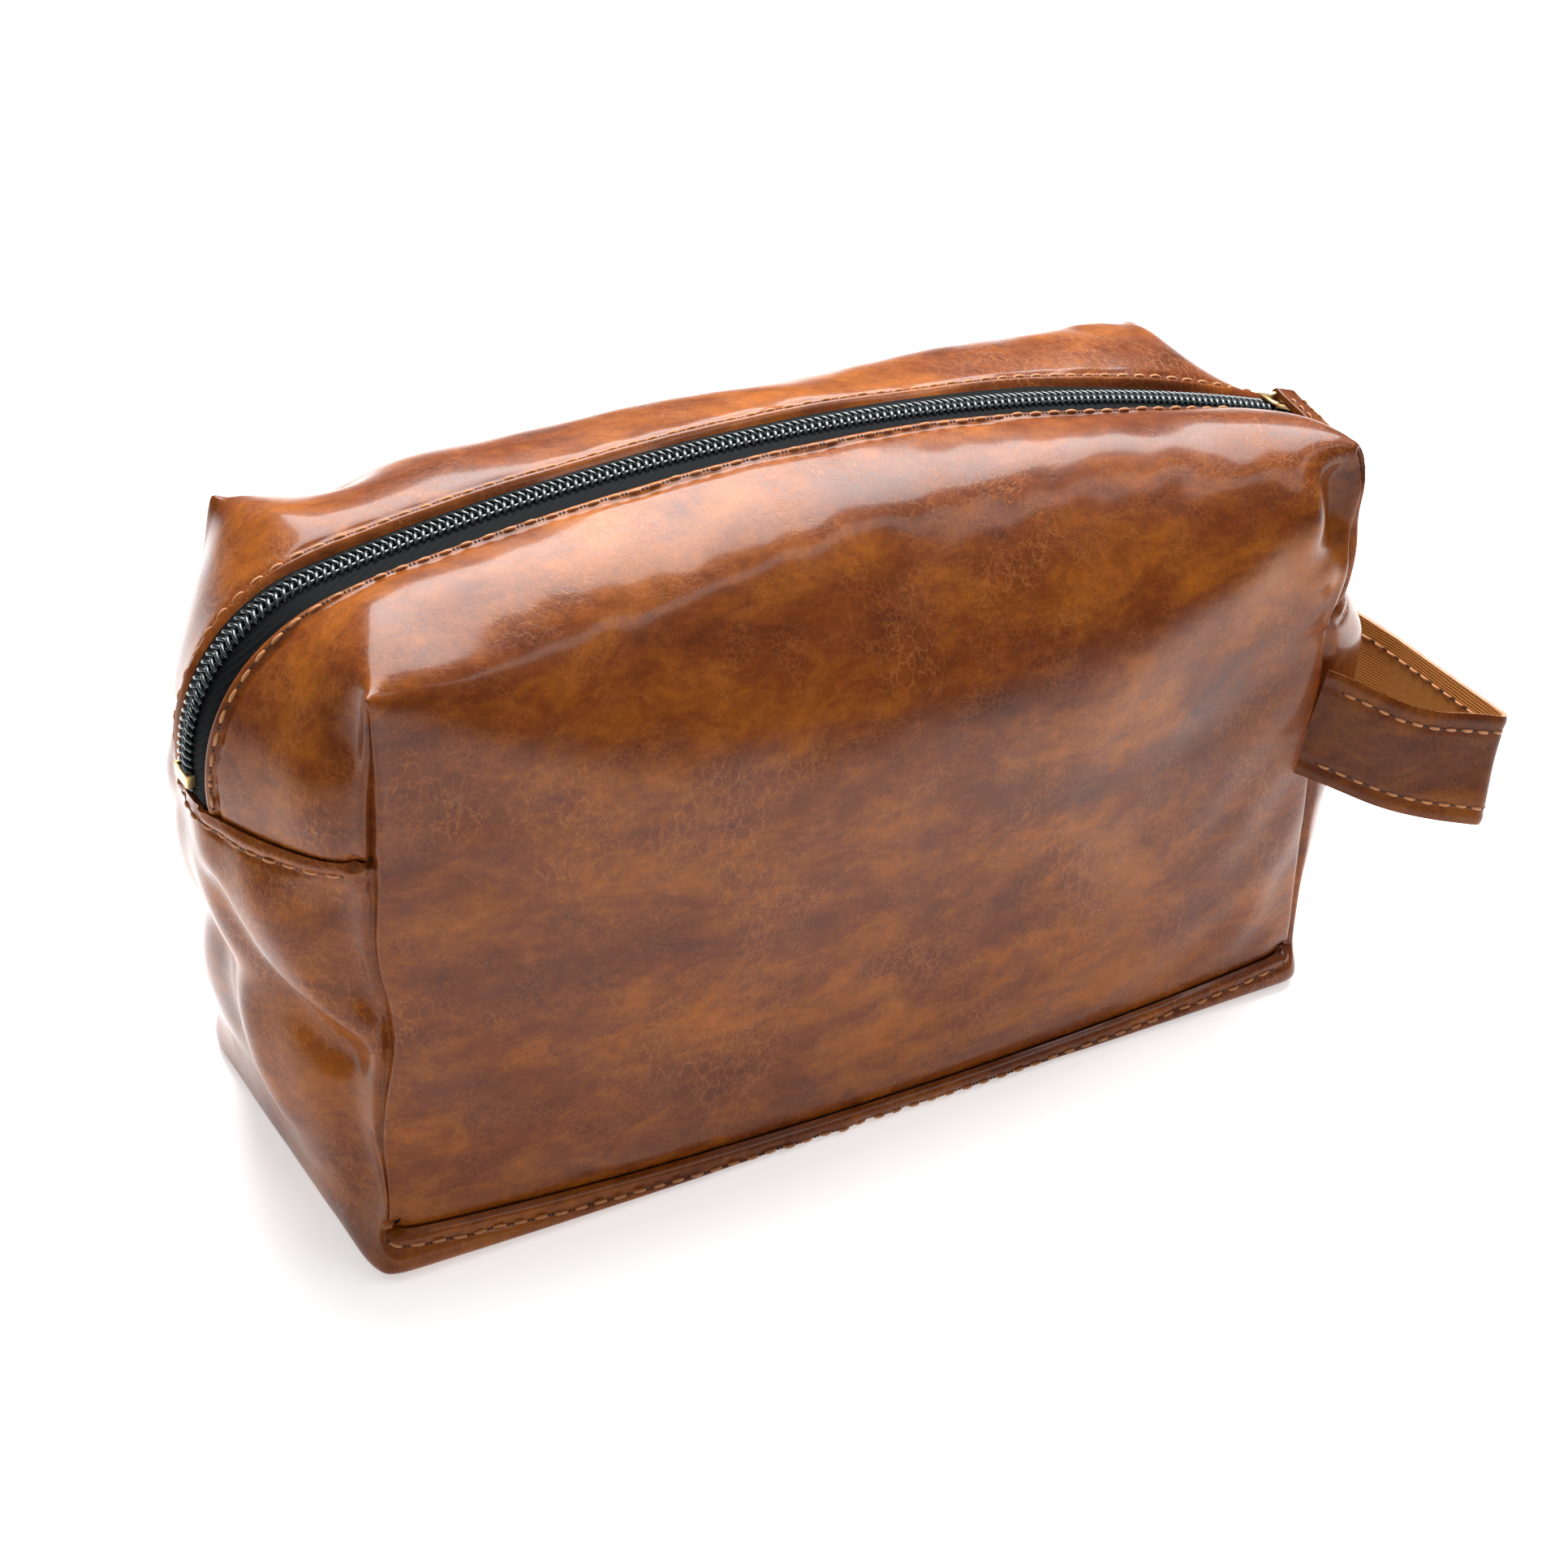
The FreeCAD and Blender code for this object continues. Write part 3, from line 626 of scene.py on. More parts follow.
def shape_body(obj):
    """Swell, relax and fold the welded body; returns its seam and zip edge vertices."""
    seam, open_edge, dart = seam_sets(obj)
    points = coords(obj)
    pairs = neighbours(obj)
    fixed = np.zeros(len(points), bool)
    fixed[sorted(seam | open_edge | dart)] = True
    bottom = points[:, 2] < 3.0
    near_ridge = bump(points[:, 2], RIDGE_Z, 14) * smooth(32, 44, np.abs(points[:, 1]))
    inside_ears = 1 - smooth(112, 124, np.abs(points[:, 0]))
    crisp = 1 - 0.75 * smooth(10, -90, points[:, 0]) * (points[:, 1] < 0)
    points = relax(points, pairs, 0.9 * near_ridge * inside_ears * crisp * ~fixed, 22)
    near_floor = bump(points[:, 2], 0, 3) * ~fixed
    points = relax(points, pairs, 0.5 * near_floor, 2)
    set_coords(obj, points)
    points = simulate(obj, set(np.nonzero(fixed | bottom)[0].tolist()))
    points = relax(points, pairs, 0.5 * ~fixed, 3)
    points = relax(points, pairs, 0.6 * smooth(112, 140, points[:, 2]) * ~fixed, 9)
    set_coords(obj, points)
    free = np.where(fixed, 0.35, 1.0) * smooth(0.5, 8, points[:, 2])
    points = work_folds(points, normals_of(obj), free)
    ease = (~fixed) * smooth(0.5, 8, points[:, 2])
    points = points + normals_of(obj) * (0.55 * waves(points, 34, 90, 9) * ease)[:, None]
    points = points + normals_of(obj) * (0.16 * waves(points, 9, 20, 9) * ease)[:, None]
    points = relax(points, pairs, 0.35 * (~fixed), 2)
    right_ears = points[:, 0] > 112
    for side in (-1, 1):
        tip = np.array([EAR_REACH[1, side], side * FACE_Y, RIDGE_Z + EAR_RISE[1, side]])
        near_tip = bump(np.linalg.norm(points - tip, axis=1), 0, 7.0) * right_ears
        points = relax(points, pairs, 0.6 * near_tip, 12)
    points[:, 2] = np.maximum(points[:, 2], FLOOR_GAP)
    set_coords(obj, points)
    return seam, open_edge, dart


# ---------------------------------------------------------------- panels cut from the body

class Line:
    """Points of a seam or edge with the body's outward direction there, for nearest searches."""

    def __init__(self, points, normals):
        self.points = points
        self.normals = normals
        self.tree = KDTree(len(points))
        for index, point in enumerate(points):
            self.tree.insert(point, index)
        self.tree.balance()

    def near(self, points):
        """Distance from each point and the line's outward direction nearest to it."""
        distance = np.zeros(len(points))
        direction = np.zeros((len(points), 3))
        for index, point in enumerate(points):
            _, found, away = self.tree.find(point)
            distance[index] = away
            direction[index] = self.normals[found]
        return distance, direction


def edge_lines(obj, chosen):
    """Dense points along the edges of obj whose two vertices are both chosen."""
    points = coords(obj)
    normals = normals_of(obj)
    pairs = read(obj.data.edges, "vertices", 2, int)
    mask = np.zeros(len(points), bool)
    mask[sorted(chosen)] = True
    pairs = pairs[mask[pairs[:, 0]] & mask[pairs[:, 1]]]
    dense = []
    ways = []
    for share in (0.0, 0.25, 0.5, 0.75):
        dense.append(points[pairs[:, 0]] * (1 - share) + points[pairs[:, 1]] * share)
        ways.append(normals[pairs[:, 0]] * (1 - share) + normals[pairs[:, 1]] * share)
    return np.concatenate(dense), np.concatenate(ways)


def seam_lines(obj, seam, open_edge, dart):
    points, normals = edge_lines(obj, seam)
    across = np.abs(np.abs(points[:, 0]) - np.abs(seam_x(1, points[:, 2])))
    corner = (across < 4.5) & (np.abs(points[:, 1]) > FACE_Y - 3.0) & (points[:, 2] > 1.0)
    return {
        "turned": Line(points[corner], normals[corner]),
        "stitched": Line(points[~corner], normals[~corner]),
        "lip": Line(*edge_lines(obj, open_edge)),
        "dart": Line(*edge_lines(obj, dart)),
    }


def panel_sheet(name, body, number):
    """A copy of the body with only one panel's faces, once subdivided."""
    obj = linked(name, body.data.copy())
    with opened(obj.data) as work:
        layer = work.faces.layers.int["panel"]
        others = [f for f in work.faces if f[layer] != number]
        bmesh.ops.delete(work, geom=others, context="FACES")
    obj.modifiers.new("smooth", "SUBSURF").levels = 1
    apply_modifiers(obj)
    return obj


def apply_modifiers(obj):
    graph = bpy.context.evaluated_depsgraph_get()
    mesh = bpy.data.meshes.new_from_object(obj.evaluated_get(graph))
    obj.modifiers.clear()
    obj.data = mesh


def refine_near(obj, lines, reach):
    """Halve the faces that lie within reach of a seam or zip edge."""
    points = coords(obj)
    close = np.zeros(len(points), bool)
    for line in lines.values():
        close |= line.near(points)[0] < reach
    with opened(obj.data) as work:
        edges = [e for e in work.edges if close[e.verts[0].index] and close[e.verts[1].index]]
        bmesh.ops.subdivide_edges(work, edges=edges, cuts=1, use_grid_fill=True)


def work_edges(obj, lines, base_piece):
    """Turn the seams in, raise the folded edges and press the stitch lines into the leather."""
    points = coords(obj)
    normals = normals_of(obj)
    turned, turned_way = lines["turned"].near(points)
    stitched, stitched_way = lines["stitched"].near(points)
    lip, _ = lines["lip"].near(points)
    dart, dart_way = lines["dart"].near(points)
    low = smooth(120, 95, points[:, 2])
    above = points[:, 2] > 2.5
    pucker = 1 + 0.5 * waves(points, 8, 14, 5)
    depth = (1.3 + 1.3 * low) * np.exp(-(turned / 1.5) ** 2) + 0.9 * np.exp(-(turned / 4.5) ** 2)
    blend = np.exp(-(turned / 3.0) ** 2)[:, None]
    way = normals * (1 - blend) + turned_way * blend
    moved = points - way * (depth * above)[:, None]
    crease = 2.3 * np.exp(-(dart / 0.95) ** 2) - 0.45 * np.exp(-((dart - 2.6) / 1.4) ** 2)
    moved -= dart_way * (crease * (points[:, 2] > END_SEAM_Z - 2))[:, None]
    if base_piece:
        edge = 0.15 * np.exp(-(stitched / 0.7) ** 2) - 0.6 * np.exp(-((stitched - 1.9) / 1.5) ** 2)
        edge += 0.6 * np.exp(-((stitched - 3.7) / 0.9) ** 2) * pucker
    else:
        edge = 0.75 * np.exp(-(stitched / 1.0) ** 2) + 0.55 * np.exp(-(stitched / 5.0) ** 2)
        rim = 1.5 * np.exp(-(lip / 0.9) ** 2) - 0.45 * np.exp(-((lip - 1.8) / 1.1) ** 2)
        rim += 0.5 * np.exp(-((lip - 3.9) / 0.9) ** 2) * pucker
        moved -= normals * rim[:, None]
    moved -= (normals * (1 - blend) + stitched_way * blend) * (edge * (stitched < 20))[:, None]
    if not base_piece:
        moved[:, 2] -= 1.5 * np.exp(-(stitched / 1.4) ** 2)
    moved[:, 2] = np.maximum(moved[:, 2], FLOOR_GAP)
    set_coords(obj, moved)


def thicken(obj, thickness, offset=-1.0):
    solid = obj.modifiers.new("thickness", "SOLIDIFY")
    solid.thickness = thickness * MM
    solid.offset = offset
    solid.use_even_offset = False
    apply_modifiers(obj)


def shade(obj, angle=50):
    for polygon in obj.data.polygons:
        polygon.use_smooth = True
    obj.data.set_sharp_from_angle(angle=math.radians(angle))


def keep_rest(obj):
    """Store where each point is at rest, so that the material stays on it when the bag opens."""
    layer = obj.data.attributes.new("rest", "FLOAT_VECTOR", "POINT")
    layer.data.foreach_set("vector", (coords(obj) * MM).ravel())


def mouth_blend(obj, side, flap):
    """Bend a piece over a top half's fold, most in the middle and not at all at the ends."""
    start = (0, side * (HINGE_Y + 1.5) * MM, 0)
    end = (0, side * (HINGE_Y - 10) * MM, 0)
    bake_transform(obj, "bag", flap, start, end)
    layer = obj.data.attributes["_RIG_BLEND"]
    weights = read(layer.data, "value", 1)[:, 0]
    points = coords(obj)
    spread = smooth(-118, -40, points[:, 0]) * smooth(131, 70, points[:, 0])
    weights = weights * spread * smooth(118, 140, points[:, 2])
    layer.data.foreach_set("value", weights.astype(np.float32))


# ---------------------------------------------------------------- small parts

def skin(rings, sides):
    """Faces of a closed tube made of rings of points."""
    faces = []
    for ring in range(rings - 1):
        for k in range(sides):
            a, b = ring * sides + k, ring * sides + (k + 1) % sides
            faces.append((a, b, b + sides, a + sides))
    faces.append(tuple(range(sides))[::-1])
    faces.append(tuple((rings - 1) * sides + k for k in range(sides)))
    return faces


def lathe_tube(path, radius, sides, taper=True):
    """A closed tube along path (points in mm); returns its vertices and faces."""
    path = np.asarray(path, float)
    tangents = np.gradient(path, axis=0)
    tangents /= np.linalg.norm(tangents, axis=1, keepdims=True)
    guide = np.array([0.0, 0.0, 1.0]) if abs(tangents[0][2]) < 0.9 else np.array([0, 1.0, 0])
    verts = []
    count = len(path)
    for index, (point, tangent) in enumerate(zip(path, tangents)):
        across = np.cross(tangent, guide)
        across /= np.linalg.norm(across)
        up = np.cross(across, tangent)
        share = index / (count - 1)
        size = radius * (math.sin(math.pi * (0.08 + 0.84 * share)) ** 0.45 if taper else 1.0)
        for k in range(sides):
            angle = 2 * math.pi * k / sides
            verts.append(point + size * (math.cos(angle) * across + math.sin(angle) * up))
    return verts, skin(count, sides)


def gather(parts):
    """Join lists of (vertices, faces) into one."""
    verts = []
    faces = []
    for some_verts, some_faces in parts:
        start = len(verts)
        verts.extend(some_verts)
        faces.extend(tuple(start + i for i in face) for face in some_faces)
    return verts, faces


def resample(path, pitch):
    length = running(path)
    return sample(path, length, np.arange(pitch / 2, length[-1], pitch))


def stitches(path, normals, pitch, thread):
    """Separate stitches along a path: each rises from one hole and dips into the next."""
    length = running(path)
    parts = []
    for first in np.arange(0.5, length[-1] - pitch, pitch):
        runs = first + np.linspace(0, pitch * STITCH_SHARE, 6)
        line = sample(path, length, runs)
        up = sample(normals, length, runs)
        rise = np.array([-0.5, 0.12, 0.22, 0.22, 0.12, -0.5])
        wander = RNG.normal(0, 0.07, 3)
        parts.append(lathe_tube(line + up * rise[:, None] + wander, thread, 6))
    return gather(parts)


# ---------------------------------------------------------------- materials

def new_material(name):
    """A new material, its node tree and its shader node."""
    made = bpy.data.materials.new(name)
    made.use_nodes = True
    tree = made.node_tree
    return made, tree, tree.nodes["Principled BSDF"]


def add(tree, kind, inputs=None, **settings):
    """Add a node; inputs are values or sockets to join, settings are the node's own properties."""
    node = tree.nodes.new(kind)
    for key, value in settings.items():
        setattr(node, key, value)
    for key, value in (inputs or {}).items():
        if isinstance(value, bpy.types.NodeSocket):
            tree.links.new(value, node.inputs[key])
        else:
            node.inputs[key].default_value = value
    return node


def ramp(tree, factor, stops):
    node = add(tree, "ShaderNodeValToRGB", {"Fac": factor})
    elements = node.color_ramp.elements
    while len(elements) < len(stops):
        elements.new(0.5)
    for element, (place, colour) in zip(elements, stops):
        element.position = place
        element.color = (*colour, 1)
    return node.outputs["Color"]


def grey(level):
    return (level, level, level)


def noise(tree, place, scale, detail=4.0, rough=0.55, distort=0.0):
    node = add(tree, "ShaderNodeTexNoise", {"Vector": place, "Scale": scale, "Detail": detail,
                                           "Roughness": rough, "Distortion": distort})
    return node.outputs["Fac"]


def maths(tree, operation, first, second=None, clamp=False):
    node = add(tree, "ShaderNodeMath", {0: first}, operation=operation, use_clamp=clamp)
    if second is not None:
        if isinstance(second, bpy.types.NodeSocket):
            tree.links.new(second, node.inputs[1])
        else:
            node.inputs[1].default_value = second
    return node.outputs[0]


def mixed(tree, factor, first, second, blend_type="MIX"):
    node = add(tree, "ShaderNodeMix", data_type="RGBA", blend_type=blend_type)
    for index, value in ((0, factor), (6, first), (7, second)):
        if isinstance(value, bpy.types.NodeSocket):
            tree.links.new(value, node.inputs[index])
        elif index == 0:
            node.inputs[index].default_value = value
        else:
            node.inputs[index].default_value = (*value, 1)
    return node.outputs[2]


def weighed(tree, first, weight, second, second_weight):
    """The sum of two values, each times its weight."""
    return maths(tree, "ADD", maths(tree, "MULTIPLY", first, weight),
                 maths(tree, "MULTIPLY", second, second_weight))


def emboss(tree, shader, height, strength, distance):
    """Raise the surface by a height, with distance in metres."""
    raised = add(tree, "ShaderNodeBump",
                 {"Height": height, "Strength": strength, "Distance": distance})
    tree.links.new(raised.outputs["Normal"], shader.inputs["Normal"])


def tinted(tree, shader, factor, low_place, high_place, colour, low_share, high_share):
    """Run the base colour from a darker to a lighter tint of colour."""
    low = tuple(c * low_share for c in colour)
    high = tuple(min(c * high_share, 1.0) for c in colour)
    tree.links.new(ramp(tree, factor, ((low_place, low), (high_place, high))),
                   shader.inputs["Base Color"])


def crackle(tree, place, scale, width):
    """Fine branching crease lines, bright on the lines and dark between them."""
    warp = add(tree, "ShaderNodeTexNoise", {"Vector": place, "Scale": scale * 1.7, "Detail": 3.0})
    moved = add(tree, "ShaderNodeVectorMath", {0: warp.outputs["Color"], 1: (0.5, 0.5, 0.5)},
                operation="SUBTRACT")
    scaled = add(tree, "ShaderNodeVectorMath", {0: moved.outputs[0]}, operation="SCALE")
    scaled.inputs["Scale"].default_value = 1.1 / scale
    place = add(tree, "ShaderNodeVectorMath", {0: place, 1: scaled.outputs[0]},
                operation="ADD").outputs[0]
    cells = add(tree, "ShaderNodeTexVoronoi", {"Vector": place, "Scale": scale},
                feature="DISTANCE_TO_EDGE")
    return ramp(tree, cells.outputs["Distance"], ((0.0, grey(1.0)), (width, grey(0.0))))


# Dark, middle and warm browns, and the lighter one in the creases
LEATHER_TINTS = ((0.082, 0.0155, 0.0030), (0.150, 0.0330, 0.0040), (0.275, 0.0740, 0.0045),
                 (0.36, 0.120, 0.028))


def leather_material(name="saddle leather", shade_by=1.0, coat=0.24):
    """Glossy pull-up leather: dark brown with warm orange patches and clusters of fine creases."""
    made, tree, shader = new_material(name)
    place = add(tree, "ShaderNodeAttribute", attribute_name="rest").outputs["Vector"]
    streaks = add(tree, "ShaderNodeMapping", {"Vector": place, "Rotation": (0.0, 0.35, 0.0),
                                              "Scale": (0.7, 1.0, 1.5)}).outputs["Vector"]
    patches = noise(tree, streaks, 24.0, 6.0, 0.62, 0.5)
    mottle = noise(tree, streaks, 90.0, 7.0, 0.68, 0.5)
    fine = noise(tree, place, 420.0, 5.0, 0.65)
    dark, middle, warm, light = (tuple(part * shade_by for part in tint) for tint in LEATHER_TINTS)
    tone = weighed(tree, patches, 0.55, mottle, 0.45)
    colour = ramp(tree, tone, ((0.37, dark), (0.49, middle), (0.62, warm)))
    grain = ramp(tree, fine, ((0.30, grey(0.80)), (0.72, grey(1.12))))
    colour = mixed(tree, 1.0, colour, grain, "MULTIPLY")
    long_way = add(tree, "ShaderNodeMapping", {"Vector": place, "Rotation": (0.2, 0.5, 0.3),
                                               "Scale": (1.35, 1.0, 0.72)}).outputs["Vector"]
    wide = crackle(tree, long_way, 290.0, 0.065)
    small = crackle(tree, place, 620.0, 0.10)
    cluster = ramp(tree, noise(tree, place, 34.0, 3.0, 0.5), ((0.50, grey(0.0)), (0.62, grey(1.0))))
    spread = ramp(tree, noise(tree, place, 120.0, 2.0, 0.5), ((0.42, grey(0.0)), (0.6, grey(1.0))))
    creases = maths(tree, "ADD", maths(tree, "MULTIPLY", wide, cluster),
                    maths(tree, "MULTIPLY", maths(tree, "MULTIPLY", small, spread), 0.55), True)
    colour = mixed(tree, maths(tree, "MULTIPLY", creases, 0.46), colour, light)
    tree.links.new(colour, shader.inputs["Base Color"])
    roughness = ramp(tree, mottle, ((0.3, grey(0.27)), (0.7, grey(0.38))))
    tree.links.new(roughness, shader.inputs["Roughness"])
    relief = weighed(tree, creases, -0.55, fine, 0.55)
    relief = maths(tree, "ADD", relief, maths(tree, "MULTIPLY", mottle, 0.9))
    emboss(tree, shader, relief, 0.42, 0.00022)
    shader.inputs["Specular IOR Level"].default_value = 0.13
    shader.inputs["Coat Weight"].default_value = coat
    shader.inputs["Coat Roughness"].default_value = 0.12
    shader.inputs["IOR"].default_value = 1.47
    return made


def plain_material(name, colour, roughness, metallic=0.0, sheen=0.0, grain=None):
    """A simple finish; grain is (scale, depth in metres) of a fine unevenness."""
    made, tree, shader = new_material(name)
    place = add(tree, "ShaderNodeTexCoord").outputs["Object"]
    scale, depth = grain or (300.0, 0.00004)
    cloud = noise(tree, place, scale, 4.0)
    tinted(tree, shader, cloud, 0.3, 0.7, colour, 0.72, 1.3)
    shader.inputs["Roughness"].default_value = roughness
    shader.inputs["Metallic"].default_value = metallic
    shader.inputs["Sheen Weight"].default_value = sheen
    emboss(tree, shader, cloud, 0.6, depth)
    return made


def twill_material(name, colour, rib, sheen, slant=(0.0, 0.0, 0.0)):
    """Woven cloth with fine parallel ribs, rib in metres."""
    made, tree, shader = new_material(name)
    place = add(tree, "ShaderNodeAttribute", attribute_name="rest").outputs["Vector"]
    turned = add(tree, "ShaderNodeMapping", {"Vector": place, "Rotation": slant}).outputs["Vector"]
    waves_node = add(tree, "ShaderNodeTexWave", {"Vector": turned, "Scale": 0.314 / rib,
                                                "Distortion": 0.6, "Detail": 2.0,
                                                "Detail Scale": 3.0}, bands_direction="Z")
    threads = noise(tree, place, 1.2 / rib, 3.0)
    height = maths(tree, "ADD", waves_node.outputs["Fac"], maths(tree, "MULTIPLY", threads, 0.5))
    tinted(tree, shader, height, 0.2, 1.1, colour, 0.62, 1.18)
    shader.inputs["Roughness"].default_value = 0.78
    shader.inputs["Specular IOR Level"].default_value = 0.08
    shader.inputs["Sheen Weight"].default_value = sheen
    emboss(tree, shader, height, 0.6, 0.0002)
    return made


LEATHER = leather_material()
STRAP_LEATHER = leather_material("strap leather", 0.66, 0.10)
RAW_EDGE = plain_material("raw leather edge", (0.50, 0.20, 0.11), 0.5)
LINING = twill_material("black lining", (0.006, 0.006, 0.0065), 0.0009, 0.05)
TAPE = twill_material("black zip tape", (0.0018, 0.0022, 0.0028), 0.0012, 0.0, (0.6, 0.5, 0.4))
STRAP_TWILL = twill_material("tan twill", (0.33, 0.125, 0.022), 0.0006, 0.1, (0.0, 0.15, 0.0))
BINDING = plain_material("binding tape", (0.014, 0.014, 0.015), 0.8, grain=(900.0, 0.0001))
THREAD = plain_material("thread", (0.40, 0.155, 0.045), 0.6, sheen=0.2, grain=(2500.0, 0.00006))
# Dark discs at the stitches: painted shade for the shadow down each hole the thread goes through.
HOLE_SHADE = plain_material("needle hole shade", (0.045, 0.016, 0.008), 0.8)
COIL = plain_material("zip coil", (0.010, 0.018, 0.020), 0.20)
COIL.node_tree.nodes["Principled BSDF"].inputs["Coat Weight"].default_value = 0.4
BRASS = plain_material("brass", (0.62, 0.44, 0.20), 0.28, metallic=1.0, grain=(700.0, 0.00002))


def finish_piece(obj, materials, bodies, replaced=()):
    """Give a finished mesh its materials and the body or bodies it moves with."""
    obj.data.materials.clear()
    for made in materials:
        obj.data.materials.append(made)
    if "rest" not in obj.data.attributes:
        keep_rest(obj)
    if isinstance(bodies, str):
        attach(obj, bodies)
    else:
        mouth_blend(obj, *bodies)
    if replaced:
        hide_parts(*replaced)


SIDE_WORDS = {-1: "front", 1: "back"}
END_WORDS = {-1: "left", 1: "right"}
BAG_MIDDLE = np.array([0.0, 0.0, 75.0])
LINING_SHARE = np.array([0.985, 0.972, 0.985])  # the lining hangs a little inside the leather
PANEL_NAMES = {FRONT: "front", BACK: "back", BASE: "base"}


def leather_panels(body, lines):
    """The three leather pieces and their linings, cut from the worked body."""
    pieces = {}
    for number, word in PANEL_NAMES.items():
        for inner in (False, True):
            sheet = panel_sheet(word + ("_lining_cloth" if inner else "_leather"), body, number)
            if not inner:
                refine_near(sheet, lines, REFINE_REACH)
            work_edges(sheet, lines, number == BASE)
            if inner:
                hung = coords(sheet) - LINING_GAP * normals_of(sheet) - BAG_MIDDLE
                set_coords(sheet, BAG_MIDDLE + hung * LINING_SHARE)
            thicken(sheet, LINING_THICK if inner else LEATHER_THICK)
            shade(sheet, 60)
            pieces[word, inner] = sheet
    return pieces


def place_panels(pieces):
    for (word, inner), sheet in pieces.items():
        material, slot = (LINING, "lining_cloth") if inner else (LEATHER, "leather")
        kind = "lining" if inner else "panel"
        if word == "base":
            finish_piece(sheet, [material], "bag", ["base_" + kind])
            continue
        side = -1 if word == "front" else 1
        replaced = ["%s_%s" % (word, kind), "%s_top_%s" % (word, kind)]
        finish_piece(sheet, [material], (side, word + "_flap"), replaced)


# ---------------------------------------------------------------- zip

def finish_half(obj, side, material, kind):
    """Finish a part of the zip that moves with one half of the mouth."""
    word = SIDE_WORDS[side]
    replaced = ["%s_%s" % (word, kind), "%s_%s_ends" % (word, kind)]
    finish_piece(obj, [material], (side, word + "_flap"), replaced)


def zip_tape(side):
    """Half of the zip's tape: flat beside the coil and tucked down under the leather."""
    runs = np.linspace(1.0, ZIP_TOTAL - 1.0, 300)
    place, normal = zip_at(runs)
    edge = np.array([mouth(side, x) for x in place[:, 0]])
    across = np.array([0, side, 0])
    rows = []
    for share in np.linspace(0, 1, 10):
        out = 0.25 + share * (edge + 4.2)
        past = np.maximum(out - edge + 0.8, 0)
        drop = 1.05 + 0.30 * past + 0.05 * past ** 2
        rows.append(place + across * out[:, None] - normal * drop[:, None])
    net = Net()
    net.grid(np.array(rows), 0, side > 0)
    tape = make_object(SIDE_WORDS[side] + "_tape", net.verts, net.faces)
    thicken(tape, 0.5)
    shade(tape)
    return tape


def zip_coil(side):
    """Half of the zip's coil: slanting loops that hook over the middle, between the other side's."""
    pitch = 1.9
    count = int((ZIP_TOTAL - 8) / pitch)
    parts = []
    for index in range(count):
        run = 4 + pitch * (index + (0.5 if side > 0 else 0.0))
        place, normal = zip_at(run)
        ahead, _ = zip_at(min(run + 1, ZIP_TOTAL))
        along = (ahead - place)[0]
        along = along / np.linalg.norm(along)
        reach = np.array([3.15, 2.9, 2.1, 1.1, 0.1, -0.55])
        rise = np.array([-0.75, -0.1, 0.42, 0.52, 0.40, -0.25])
        slant = np.array([-0.75, -0.62, -0.3, 0.1, 0.55, 0.8])
        path = (place + normal * rise[:, None] + along * slant[:, None]
                + np.array([0, side, 0]) * reach[:, None])
        parts.append(lathe_tube(path, 0.56, 7))
    cord_run = np.linspace(4, ZIP_TOTAL - 4, 240)
    place, normal = zip_at(cord_run)
    cord_path = place + np.array([0, side * 1.7, 0]) - normal * 0.45
    parts.append(lathe_tube(cord_path, 0.62, 6, False))
    verts, faces = gather(parts)
    coil = make_object(SIDE_WORDS[side] + "_coil_teeth", verts, faces)
    shade(coil, 80)
    return coil


def surface_path(tree, path, ways, reach):
    """Drop a path on to a surface along its ways; returns the points and the normals there."""
    points = []
    normals = []
    for point, way in zip(path, ways):
        start = Vector(tuple((point + way * reach) * MM))
        hit, normal, _, _ = tree.ray_cast(start, Vector(tuple(-way)), 3 * reach * MM)
        if hit is None:
            continue
        points.append(np.array(hit) / MM)
        normals.append(np.array(normal))
    return np.array(points), even_ways(np.array(normals))


def even_ways(ways):
    """Average each direction with those near it along a path."""
    kernel = np.ones(7) / 7
    padded = np.pad(ways, ((3, 3), (0, 0)), mode="edge")
    even = np.stack([np.convolve(padded[:, k], kernel, "valid") for k in range(3)], 1)
    return even / np.linalg.norm(even, axis=1, keepdims=True)


def tree_of(obj):
    work = bmesh.new()
    work.from_mesh(obj.data)
    tree = BVHTree.FromBMesh(work)
    work.free()
    return tree


def needle_hole_shade(path, normals, pitch):
    """Small dark discs where the thread goes into the leather, painted shade for the shadow down each hole.
    """
    length = running(path)
    parts = []
    for run in np.arange(0.5, length[-1], pitch):
        for extra in (-0.25, pitch * STITCH_SHARE + 0.25):
            up = sample(normals, length, run + extra)
            depths = np.array([-0.3, 0.0, 0.10, 0.14])[:, None]
            line = sample(path, length, run + extra) + depths * up
            parts.append(lathe_tube(line, 0.36, 7))
    return gather(parts)


def stitch_row(name, path, normals, bodies, replaced=(), pitch=SEW_PITCH, thread=SEW_THREAD):
    """A row of stitches and the painted shade where the needle went through, as one piece with two
    materials.
    """
    sewn = stitches(path, normals, pitch, thread)
    hole_shade = needle_hole_shade(path, normals, pitch)
    verts, faces = gather([sewn, hole_shade])
    row = make_object(name, verts, faces)
    shade(row, 80)
    index = np.zeros(len(faces), int)
    index[len(sewn[1]):] = 1
    finish_piece(row, [THREAD, HOLE_SHADE], bodies, replaced)
    row.data.polygons.foreach_set("material_index", index)
    return row


def zip_stitches(side, leather):
    """The row of stitches along a leather edge beside the zip."""
    word = SIDE_WORDS[side]
    runs = np.linspace(3.0, ZIP_TOTAL - 3.0, 700)
    place, normal = zip_at(runs)
    edge = np.array([mouth(side, x) for x in place[:, 0]])
    path = place + np.array([0, side, 0]) * (edge + ZIP_SEW_IN)[:, None]
    points, ways = surface_path(tree_of(leather), path, normal, 8.0)
    replaced = [word + "_zip_thread", word + "_zip_thread_ends"]
    stitch_row(word + "_zip_stitches", points, ways, (side, word + "_flap"), replaced)


